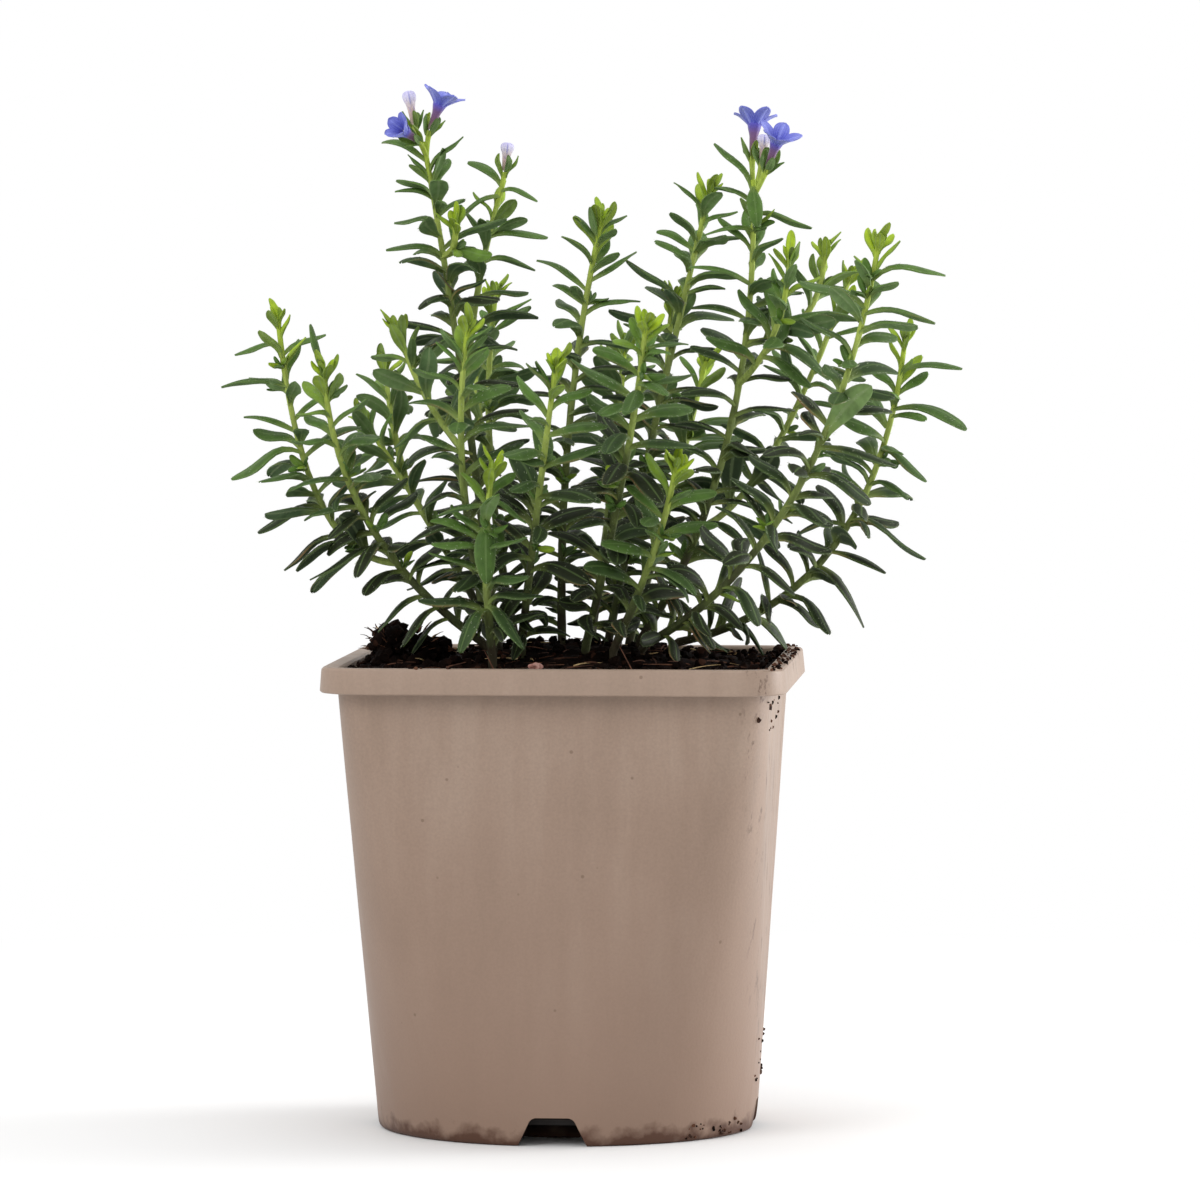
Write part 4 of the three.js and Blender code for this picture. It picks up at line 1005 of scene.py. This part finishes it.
def addOpenCorolla(bm, bloom):
    base, _, along, across, over, length = bloomFrame(bloom)
    opened = bloom["open"]
    lean = mix(0.12, 0.8, opened)
    reach = petal["length"] * mix(0.65, 1, opened)

    def tubeSpot(angle, share):
        radius = mix(corollaTube["base"], corollaTube["middle"], smooth(share / 0.6))
        radius += (corollaTube["mouth"] - corollaTube["middle"]) * smooth((share - 0.55) / 0.45)
        radius *= 1 + 0.05 * math.cos(5 * angle)
        return base + share * length * along + radius * (math.sin(angle) * across + math.cos(angle) * over)

    start = set(bm.faces)
    verts = addGrid(bm, 30, 10, lambda x, y: tubeSpot(math.pi * x, y))
    alongLayer, acrossLayer = bm.verts.layers.float["along"], bm.verts.layers.float["across"]
    for vert in verts:
        vert[alongLayer] *= 0.5
        vert[acrossLayer] = 0.6
    bmesh.ops.remove_doubles(bm, verts=verts, dist=1e-5)
    tubeFaces = [face for face in bm.faces if face not in start]
    bmesh.ops.recalc_face_normals(bm, faces=tubeFaces)
    bmesh.ops.solidify(bm, geom=tubeFaces, thickness=corollaTube["wall"])

    for i in range(petal["lobes"]):
        turn = 2 * math.pi * i / petal["lobes"]
        out = math.sin(turn) * across + math.cos(turn) * over
        side = out.cross(along).normalized()
        foot = base + (length - 1.1) * along + 1.15 * out
        spread = math.cos(lean) * along + math.sin(lean) * out
        bend = foot + 0.55 * reach * (0.6 * along + 0.4 * spread).normalized()
        tip = base + length * along + corollaTube["mouth"] * out + reach * spread
        curl = 0.5 * opened * (out - 0.6 * along)
        curve = Curve(foot, bend, tip + curl)

        def place(x, y, curve=curve, side=side):
            direction = curve.direction(y)
            over = side.cross(direction).normalized()
            wide = mix(0.5, 1, smooth(y / 0.6)) * math.sqrt(max(0.01, 1 - clamp((y - 0.6) / 0.4) ** 2.2))
            fold = 0.35 * x * x * mix(1.2, 0.6, y) - 0.18 * math.exp(-(x / 0.14) ** 2)
            ripple = 0.12 * math.sin(9 * y + 4 * x)
            half = 0.5 * petal["width"] * mix(0.7, 1, opened) * wide
            return curve.point(y) + half * x * side + (fold + ripple * y) * over

        before = set(bm.faces)
        verts = addGrid(bm, 8, 12, place)
        for vert in verts:
            vert[alongLayer] = 0.45 + 0.55 * vert[alongLayer]
        faces = [face for face in bm.faces if face not in before]
        bmesh.ops.solidify(bm, geom=faces, thickness=petal["thick"])
        made = [face for face in bm.faces if face not in before]
        bmesh.ops.recalc_face_normals(bm, faces=made)


def addStamens(bm, bloom):
    # pale anthers in a ring just inside the throat, and the stigma, drawn last, in their middle
    base, _, along, across, over, length = bloomFrame(bloom)
    turned = along.to_track_quat("Z", "Y").to_matrix()
    for i in range(stamen["count"] + 1):
        isStigma = i == stamen["count"]
        turn = 2 * math.pi * i / stamen["count"]
        out = (math.sin(turn) * across + math.cos(turn) * over) * (0 if isStigma else stamen["out"])
        spot = base + (length - stamen["stigmaDeep" if isStigma else "deep"]) * along + out
        made = bmesh.ops.create_icosphere(bm, subdivisions=2, radius=stamen["radius"])["verts"]
        for vert in made:
            x, y, z = vert.co
            vert.co = spot + turned @ Vector((x * stamen["slim"], y * stamen["slim"], z * stamen["long"]))
        for face in facesOf(made):
            face.material_index = 1


def addBudCorolla(bm, bloom):
    # slim tube with a swollen head of five folded lobes
    base, _, along, across, over, length = bloomFrame(bloom)
    addSpin(bm, [(radius, share * length) for radius, share in budOutline], 30)
    bmesh.ops.remove_doubles(bm, verts=bm.verts, dist=1e-4)
    bmesh.ops.recalc_face_normals(bm, faces=bm.faces)
    alongLayer, acrossLayer = bm.verts.layers.float["along"], bm.verts.layers.float["across"]
    for vert in bm.verts:
        x, y, height = vert.co
        share, turn = height / length, math.atan2(x, y)
        swirl, folded = 5 * turn + 3 * share, smooth(2.5 * share - 1)
        radius = math.hypot(x, y) * (1 + 0.09 * math.cos(swirl) * folded)
        vert[alongLayer] = share
        vert[acrossLayer] = math.sin(swirl / 2) * folded + (1 - folded) * 0.6
        vert.co = base + height * along + radius * (math.sin(turn) * across + math.cos(turn) * over)


def makeBloom(bloom):
    bm = newShape()
    if bloom["open"] > 0:
        addOpenCorolla(bm, bloom)
        addStamens(bm, bloom)
        finishPiece(bloom["name"] + "_corolla", bm, [azurePetal, anther], [bloom["name"]])
    else:
        addBudCorolla(bm, bloom)
        finishPiece(bloom["name"] + "_corolla", bm, [budPetal], [bloom["name"]])


# Each stem's foot, knee and tip, in mm. Side shoots leave their stem "at" a share of
# its length; "leaves" are the ones that stand out, each with its share of the shoot's length and its tip.
stems = [
    {"name": "leafy_stem_left_low", "foot": (-19, -8, 119), "knee": (-46.5, -22, 149), "tip": (-56.5, -34, 187),
     "leaves": [{"at": 0.41, "tip": (-61.7, -25.6, 137)}, {"at": 0.97, "tip": (-60, -33.4, 198.4)}],
     "sides": [{"at": 0.36, "knee": (-60, -14, 155), "tip": (-69.7, -18, 199.7),
                "leaves": [{"at": 0.85, "tip": (-83.5, -20.4, 183.1)}, {"at": 0.67, "tip": (-82, -18.9, 161.5)},
                           {"at": 0.47, "tip": (-75.4, -17.9, 148)}, {"at": 0.94, "tip": (-80.9, -15.3, 191)},
                           {"at": 0.92, "tip": (-58.5, -13, 195.7)}]}]},
    {"name": "leafy_stem_left_back", "foot": (-18, 10, 119), "knee": (-37.5, 20, 150), "tip": (-54, 28, 174),
     "sides": [{"at": 0.62, "knee": (-46.5, 30, 172), "tip": (-49, 36, 186.6)}]},
    {"name": "leafy_stem_left_flowering", "foot": (-17.3, -2, 119), "knee": (-25.5, -4, 183),
     "tip": (-35.2, -4, 243), "bare": 0.12, "tipFree": 4,
     "leaves": [{"at": 0.76, "tip": (-44.2, -8.2, 218.6)}, {"at": 0.94, "tip": (-25, -7.1, 243.9)},
                {"at": 0.88, "tip": (-42, -7.2, 232.1)}, {"at": 0.67, "tip": (-19.4, -9.2, 209.2)},
                {"at": 0.68, "tip": (-36.4, -9.2, 202.6)}, {"at": 0.96, "tip": (-45.4, -1.1, 245)}],
     "sides": [{"at": 0.76, "knee": (-27.4, -8, 217.5), "tip": (-26.9, -11, 223)},
               {"at": 0.47, "knee": (-22.6, 4, 206.5), "tip": (-16.7, 10, 233.7), "tipFree": 3,
                "leaves": [{"at": 0.93, "tip": (-30.5, 6.2, 223.1)}, {"at": 0.97, "tip": (-25.5, 13.7, 239.5)},
                           {"at": 0.95, "tip": (-7.5, 7.5, 230)}, {"at": 0.74, "tip": (-5.7, 10.2, 219.6)}]}]},
    {"name": "leafy_stem_left_front", "foot": (-16.5, -20, 119), "knee": (-23, -30, 160.5),
     "tip": (-21.4, -34, 197.5),
     "sides": [{"at": 0.6, "knee": (-33.6, -20, 181.4), "tip": (-40.6, -14, 197.2)}]},
    {"name": "leafy_stem_middle_left", "foot": (-14.5, 18, 119), "knee": (-21.7, 26, 165),
     "tip": (-20.5, 30, 205.8),
     "sides": [{"at": 0.48, "knee": (-26, 42, 176), "tip": (-28, 56, 190.5)}]},
    {"name": "leafy_stem_front_low", "foot": (-15.5, -34, 118), "knee": (-16.6, -39, 141.5),
     "tip": (-14.8, -42, 163.3), "bare": 0.2,
     "leaves": [{"at": 0.71, "tip": (-15.8, -48, 137)}, {"at": 0.8, "tip": (-27.9, -44.4, 151.8)},
                {"at": 0.81, "tip": (-5.6, -44.5, 151.9)}, {"at": 0.26, "tip": (-6.6, -46, 121)},
                {"at": 0.24, "tip": (-23.5, -46, 121)}]},
    {"name": "leafy_stem_front_middle", "foot": (-10.2, -16, 119), "knee": (-4.4, -36, 154),
     "tip": (1.3, -50, 188.7),
     "leaves": [{"at": 0.91, "tip": (-5.9, -51, 189)}]},
    {"name": "leafy_stem_middle_tall", "foot": (-1.6, 2, 119), "knee": (0.4, 0, 173), "tip": (8.7, -2, 224.3),
     "bare": 0.14,
     "leaves": [{"at": 0.94, "tip": (2, -1.8, 225)}, {"at": 0.95, "tip": (14, 0.2, 226)}]},
    {"name": "leafy_stem_front_bright", "foot": (5.3, -12, 119), "knee": (16.4, -34, 162.6),
     "tip": (23.3, -55, 198.4),
     "leaves": [{"at": 0.91, "tip": (33.3, -53, 193.6)}]},
    {"name": "leafy_stem_middle_right", "foot": (9.3, 7, 119), "knee": (21.8, 8, 176.7),
     "tip": (34.7, 8, 231.2), "bare": 0.14,
     "leaves": [{"at": 0.94, "tip": (26.5, 8.1, 234)}, {"at": 0.86, "tip": (42, 11.2, 220)}],
     "sides": [{"at": 0.6, "knee": (24.2, 15, 196.5), "tip": (25.1, 19, 205)}]},
    {"name": "leafy_stem_back_middle", "foot": (4, 22, 119), "knee": (8, 44, 161), "tip": (9.5, 60, 192.3)},
    {"name": "leafy_stem_back_right", "foot": (13, 28, 118), "knee": (22.4, 46, 153.5), "tip": (30.4, 58, 188)},
    {"name": "leafy_stem_right_flowering", "foot": (17, 4, 119), "knee": (39.3, 2, 169.5),
     "tip": (45.9, -2, 233.6), "bare": 0.16, "tipFree": 4,
     "leaves": [{"at": 0.98, "tip": (37.1, -1, 243.5)}, {"at": 0.99, "tip": (47.5, -9, 222.7)},
                {"at": 0.94, "tip": (60, 0.5, 221.3)}, {"at": 0.96, "tip": (36.3, 2.3, 232.6)},
                {"at": 0.91, "tip": (33.6, -5.1, 220.8)}],
     "sides": [{"at": 0.62, "knee": (51.8, -10, 196.8), "tip": (55.4, -14, 214.4)},
               {"at": 0.7, "knee": (57.7, 8, 199.5), "tip": (62.9, 14, 216.4)},
               {"at": 0.3, "knee": (49.3, 22, 166), "tip": (68.4, 30, 209.8)}]},
    {"name": "leafy_stem_right_outer", "foot": (19, -12, 119), "knee": (57.5, -34, 157),
     "tip": (78.3, -42, 218),
     "leaves": [{"at": 0.63, "tip": (77.2, -48, 184.2), "shows": "underside"},
                {"at": 0.94, "tip": (94.5, -38, 213.3)}, {"at": 0.88, "tip": (92.3, -44, 199.6)},
                {"at": 0.89, "tip": (59, -37, 208.4)}]},
    {"name": "leafy_stem_right_low", "foot": (24, 24, 118), "knee": (64.5, 18, 142.3), "tip": (83, 6, 194.7),
     "leaves": [{"at": 0.94, "tip": (97, 9.6, 187)}, {"at": 0.86, "tip": (99.3, 6.2, 174.7)},
                {"at": 0.77, "tip": (88.6, 9.5, 159.5)}, {"at": 0.66, "tip": (60.8, 17.2, 163.2)},
                {"at": 0.57, "tip": (54.1, 12.3, 147.2)}, {"at": 0.59, "tip": (87.3, 11.8, 139.1)},
                {"at": 0.44, "tip": (73.6, 13.4, 123.5)}]},
    {"name": "leafy_stem_front_right", "foot": (13, -22, 119), "knee": (23.7, -32, 143.7),
     "tip": (29.4, -40, 164.3)},
]

# Blooms stand on a stem of the list above, on its main shoot (0) or a side shoot (1, 2 ...), from the base of
# the tube to its mouth or the bud's top; "open" runs from 0, a closed bud, to 1.
blooms = [
    {"name": "flower_left_open", "stem": 2, "shoot": 0, "open": 1,
     "base": (-33.6, -4, 246), "top": (-31.2, -4, 252.4)},
    {"name": "flower_left_half_open", "stem": 2, "shoot": 0, "open": 0.45,
     "base": (-36.6, -7.6, 243.4), "top": (-39.4, -11, 245.6)},
    {"name": "bud_left", "stem": 2, "shoot": 0, "open": 0,
     "base": (-37.9, -1, 247.2), "top": (-39.4, -1, 255.6)},
    {"name": "bud_middle", "stem": 2, "shoot": 2, "open": 0,
     "base": (-16.5, 10, 236), "top": (-15.7, 10, 243)},
    {"name": "flower_right_upper", "stem": 12, "shoot": 0, "open": 1,
     "base": (45.4, 2.6, 239.5), "top": (45.8, 5, 247.4)},
    {"name": "flower_right_lower", "stem": 12, "shoot": 0, "open": 1,
     "base": (49.6, -5, 236.6), "top": (52, -7.6, 243)},
    {"name": "bud_right", "stem": 12, "shoot": 0, "open": 0,
     "base": (48, -0.6, 238.4), "top": (48.6, -0.6, 244.8)},
]


def addCalyx(bm, bloom, shoot, draw):
    # the green stalk and the five hairy sepals under a bloom
    base, _, along, across, over, _ = bloomFrame(bloom)
    start = shoot.curve.point(0.97)
    end = base - 0.3 * along
    stalk = Curve(start, end - 1.6 * along, end)

    def place(angle, share):
        square = aroundDirection(stalk.direction(share))
        radius = mix(stem["tip"], 0.95, smooth(2 * share - 1))
        return stalk.point(share) + radius * (math.cos(angle) * square[0] + math.sin(angle) * square[1])

    addTube(bm, 10, 6, place, 2, lambda share: 0.1)
    for i in range(sepal["count"]):
        angle = 2 * math.pi * (i + 0.5) / sepal["count"]
        out = math.cos(angle) * across + math.sin(angle) * over
        foot = end - 1.3 * along + 0.3 * out
        bend = foot + 0.5 * sepal["length"] * along + sepal["bulge"] * out
        tip = foot + sepal["length"] * mix(0.9, 1.15, draw()) * along + sepal["reach"] * mix(0.8, 1.1, draw()) * out
        addLeaf(bm, (Curve(foot, bend, tip), out.cross(along).normalized(), sepal["width"]), sepal["age"], draw)


# leaves beyond the solids': small old ones near the soil, one or two between each pair, and tufts in some axils
filling = {
    "oldStep": (1.1, 2.6), "oldSize": (0.5, 0.85), "oldAge": 1.2, "oldWild": 2.0, "overSoil": 1.2,
    "gap": 3, "size": (0.75, 1.0), "wild": 1.6, "tuftShare": 0.25,
    "secondShare": 0.4, "secondTurn": 2.1, "secondSize": (0.7, 0.95), "secondWild": 1.8,
    "tuftLeaves": 4, "tuftLength": (3.5, 6.5), "tuftWidth": 0.3,
}
shown = {"youngest": 0.45, "backAge": 0.32, "backWild": 0.2}  # the leaves that are placed one by one


def liftOffSoil(curve):
    # keeps an old leaf's bend and tip above the soil
    for spot in (curve.bend, curve.end):
        spot.z = max(spot.z, soilHeight(spot.x, spot.y) + filling["overSoil"])


def addOldLeaves(bm, shoot, draw):
    # short, dark old leaves that hang on below the solid's, down to the soil
    below = shoot.length * (1 - shoot.bare)
    rank = 20
    while below < shoot.length * 0.97:
        t = 1 - below / shoot.length
        draws = [draw(), draw(), draw(), draw()]
        blade = spiralLeaf(shoot, rank, t, draws, 2 * math.pi * draw(), mix(*filling["oldSize"], draw()))
        liftOffSoil(blade[0])
        addLeaf(bm, blade, filling["oldAge"], draw, filling["oldWild"])
        below += mix(*filling["oldStep"], draw())
        rank += 1


def addAxilTuft(bm, shoot, t, angle, draw):
    # the few young leaves of a side bud that has just begun to grow
    along = shoot.curve.direction(t)
    across, over = aroundDirection(along)
    out = math.cos(angle) * across + math.sin(angle) * over
    axis = (out + 1.1 * along).normalized()
    square = aroundDirection(axis)
    foot = shoot.curve.point(t) + 0.6 * shoot.radius(t) * out
    for i in range(filling["tuftLeaves"]):
        turn = angle + i * goldenTurn
        aside = math.cos(turn) * square[0] + math.sin(turn) * square[1]
        length = mix(*filling["tuftLength"], draw())
        start = (axis + mix(0.25, 0.6, draw()) * aside).normalized()
        bend = foot + 0.5 * length * start
        blade = Curve(foot, bend, bend + 0.5 * length * (start + 0.3 * aside).normalized())
        width = filling["tuftWidth"] * length
        addLeaf(bm, (blade, aside.cross(axis).normalized(), width), 0.16 + 0.2 * draw(), draw)


def addShownLeaves(bm, shoot, draw):
    for mark in shoot.marked:
        if mark.get("shows"):
            addLeaf(bm, markedLeaf(shoot, mark), shown["backAge"], draw, shown["backWild"])
        else:
            addLeaf(bm, markedLeaf(shoot, mark), max(shown["youngest"], shoot.age(mark["at"])), draw)


def addSpiralLeaves(bm, shoot, spots, tree, draw):
    # the leaves that the solid has too; gives back how many
    count = 0
    for rank, t, draws in spots:
        for scale, turn in tries:
            blade = spiralLeaf(shoot, rank, t, draws, turn, scale)
            if isInSolid(blade, tree):
                addLeaf(bm, blade, shoot.age(t), draw)
                count += 1
                break
    return count


def addFillingLeaves(bm, shoot, spots, draw):
    # finer leaves between the solid's, down to the real spacing of about 3 mm; gives back how many gaps it filled
    count = 0
    for (rank, t, _), (_, lower, _) in zip(spots, spots[1:]):
        if (t - lower) * shoot.length <= filling["gap"]:
            continue
        middle = mix(t, lower, mix(0.4, 0.6, draw()))
        draws = [draw(), draw(), draw(), draw()]
        turn = math.pi * mix(0.75, 1.25, draw())
        blade = spiralLeaf(shoot, rank + 0.5, middle, draws, turn, mix(*filling["size"], draw()))
        addLeaf(bm, blade, shoot.age(middle), draw, filling["wild"])
        count += 1
        if draw() < filling["tuftShare"]:
            addAxilTuft(bm, shoot, middle, 2 * math.pi * draw(), draw)
        if draw() < filling["secondShare"]:
            turn += filling["secondTurn"]
            blade = spiralLeaf(shoot, rank + 0.5, middle, draws, turn, mix(*filling["secondSize"], draw()))
            addLeaf(bm, blade, shoot.age(middle), draw, filling["secondWild"])
    return count


def makeLeafyStem(plan, index):
    name = plan["name"]
    tree = vertexTree(name)
    bm = newShape()
    draw = dice(4000 + index)
    shoots = shootsOf(plan, index)
    count = 0
    for shoot in shoots:
        spots = leafSpots(shoot)
        addShootStem(bm, shoot)
        addStemHairs(bm, shoot, draw)
        if shoot.tipFree < 2:  # on the others blooms or a calyx take the tip's place
            addTipLeaves(bm, shoot, draw)
        addShownLeaves(bm, shoot, draw)
        count += len(shoot.marked) + addSpiralLeaves(bm, shoot, spots, tree, draw)
        count += addFillingLeaves(bm, shoot, spots, draw)
        if shoot.isMain:
            addOldLeaves(bm, shoot, draw)
    for bloom in blooms:
        if bloom["stem"] == index:
            addCalyx(bm, bloom, shoots[bloom["shoot"]], draw)
    print(name, "with", count, "leaves")
    finishPiece(name + "_foliage", bm, [leafFace, leafUnderside, stemSkin, bristle], [name])


for index, plan in enumerate(stems):
    makeLeafyStem(plan, index)
for bloom in blooms:
    makeBloom(bloom)
print("plant made")


barkChip = {
    "x": -3.8, "y": -46, "above": 1.4, "turn": 0.35, "longHalf": 1.9, "topHalf": 1.5, "slim": 0.55, "thick": 0.9,
    "sides": 24, "rough": 0.22, "roughScale": 1.3,
}


def makeBarkChip():
    # a flake split from a bigger chip, standing on its edge in the soil near the front rim
    bm = newShape()
    made = bmesh.ops.create_cone(bm, cap_ends=True, segments=barkChip["sides"], radius1=barkChip["longHalf"],
                                 radius2=barkChip["topHalf"], depth=barkChip["thick"])["verts"]
    bmesh.ops.scale(bm, vec=Vector((1, barkChip["slim"], 1)), verts=made)
    bmesh.ops.subdivide_edges(bm, edges=bm.edges[:], cuts=2, use_grid_fill=True)
    x, y = barkChip["x"], barkChip["y"]
    spot = Vector((x, y, soilHeight(x, y) + barkChip["above"]))
    turn = Matrix.Rotation(barkChip["turn"], 3, "Z") @ Matrix.Rotation(math.pi / 2, 3, "X")
    for vert in bm.verts:
        vert.co = spot + turn @ (vert.co + barkChip["rough"] * noise.noise_vector(barkChip["roughScale"] * vert.co))
    finishPiece("bark_flake", bm, [bark], ["bark_chip"])


makeBarkChip()


# places and sizes from here on are in metres, the camera's angles in degrees, light power in watts
camera = {"place": (0.1476, -1.7818, 0.2176), "turn": 4.48, "down": 2.805, "lens": 217.35, "sensor": 36}
paper = {"halfSize": 6, "grey": 0.77, "fadeFrom": 0.2, "fadeTo": 0.5}
lightAim = (0.0, 0.0, 0.14)
lights = [
    {"name": "softboxLeftFront", "place": (-0.9, -1.1, 1.1), "aim": lightAim, "size": 0.9, "power": 9},
    {"name": "softboxRight", "place": (1.2, 0.35, 0.5), "aim": lightAim, "size": 0.7, "power": 5},
    {"name": "rightStrip", "place": (0.55, 0.22, 0.13), "aim": (0.05, 0.0, 0.06), "size": 0.3, "power": 2.2},
    {"name": "topPanel", "place": (0.0, 0.2, 1.6), "aim": lightAim, "size": 1.2, "power": 5},
]


def makeCamera():
    data = bpy.data.cameras.new("camera")
    data.lens, data.sensor_width = camera["lens"], camera["sensor"]
    data.clip_end = 50
    eye = bpy.data.objects.new("camera", data)
    eye.location = camera["place"]
    eye.rotation_euler = (math.radians(90 - camera["down"]), 0, math.radians(camera["turn"]))
    bpy.context.collection.objects.link(eye)
    bpy.context.scene.camera = eye


def makeLight(light):
    data = bpy.data.lights.new(light["name"], "AREA")
    data.shape, data.size, data.energy = "DISK", light["size"], light["power"]
    lamp = bpy.data.objects.new(light["name"], data)
    lamp.location = light["place"]
    lamp.rotation_euler = (Vector(light["aim"]) - Vector(light["place"])).to_track_quat("-Z", "Y").to_euler()
    bpy.context.collection.objects.link(lamp)


def makeFloor():
    bm = bmesh.new()
    bmesh.ops.create_grid(bm, x_segments=1, y_segments=1, size=paper["halfSize"])
    mesh = bpy.data.meshes.new("floor")
    bm.to_mesh(mesh)
    bm.free()
    floor = bpy.data.objects.new("floor", mesh)
    bpy.context.collection.objects.link(floor)
    # white paper that fades into the white behind it, so that no horizon shows
    grey = (paper["grey"], paper["grey"], paper["grey"], 1)
    material, tree, shader = newMaterial("mattePaperSweep", Base_Color=grey, Roughness=0.9, Specular_IOR_Level=0.1)
    spot = addNode(tree, "ShaderNodeTexCoord").outputs["Object"]
    away = addNode(tree, "ShaderNodeVectorMath", {0: spot}, operation="LENGTH").outputs["Value"]
    far = addNode(tree, "ShaderNodeMapRange", {0: away, 1: paper["fadeFrom"], 2: paper["fadeTo"], 3: 0.0, 4: 1.0})
    glow = addNode(tree, "ShaderNodeEmission", {"Color": (1, 1, 1, 1)})
    faded = addNode(tree, "ShaderNodeMixShader", {0: far.outputs[0], 1: shader.outputs[0], 2: glow.outputs[0]})
    tree.links.new(faded.outputs[0], tree.nodes["Material Output"].inputs["Surface"])
    mesh.materials.append(material)


def makeWorld():
    world = bpy.data.worlds.new("whiteStudio")
    world.use_nodes = True
    world.node_tree.nodes["Background"].inputs["Color"].default_value = (1, 1, 1, 1)
    world.node_tree.nodes["Background"].inputs["Strength"].default_value = 1.0
    bpy.context.scene.world = world


makeCamera()
makeFloor()
makeWorld()
for light in lights:
    makeLight(light)
bpy.context.scene.view_settings.view_transform = "Standard"
print("camera, floor and lights set")
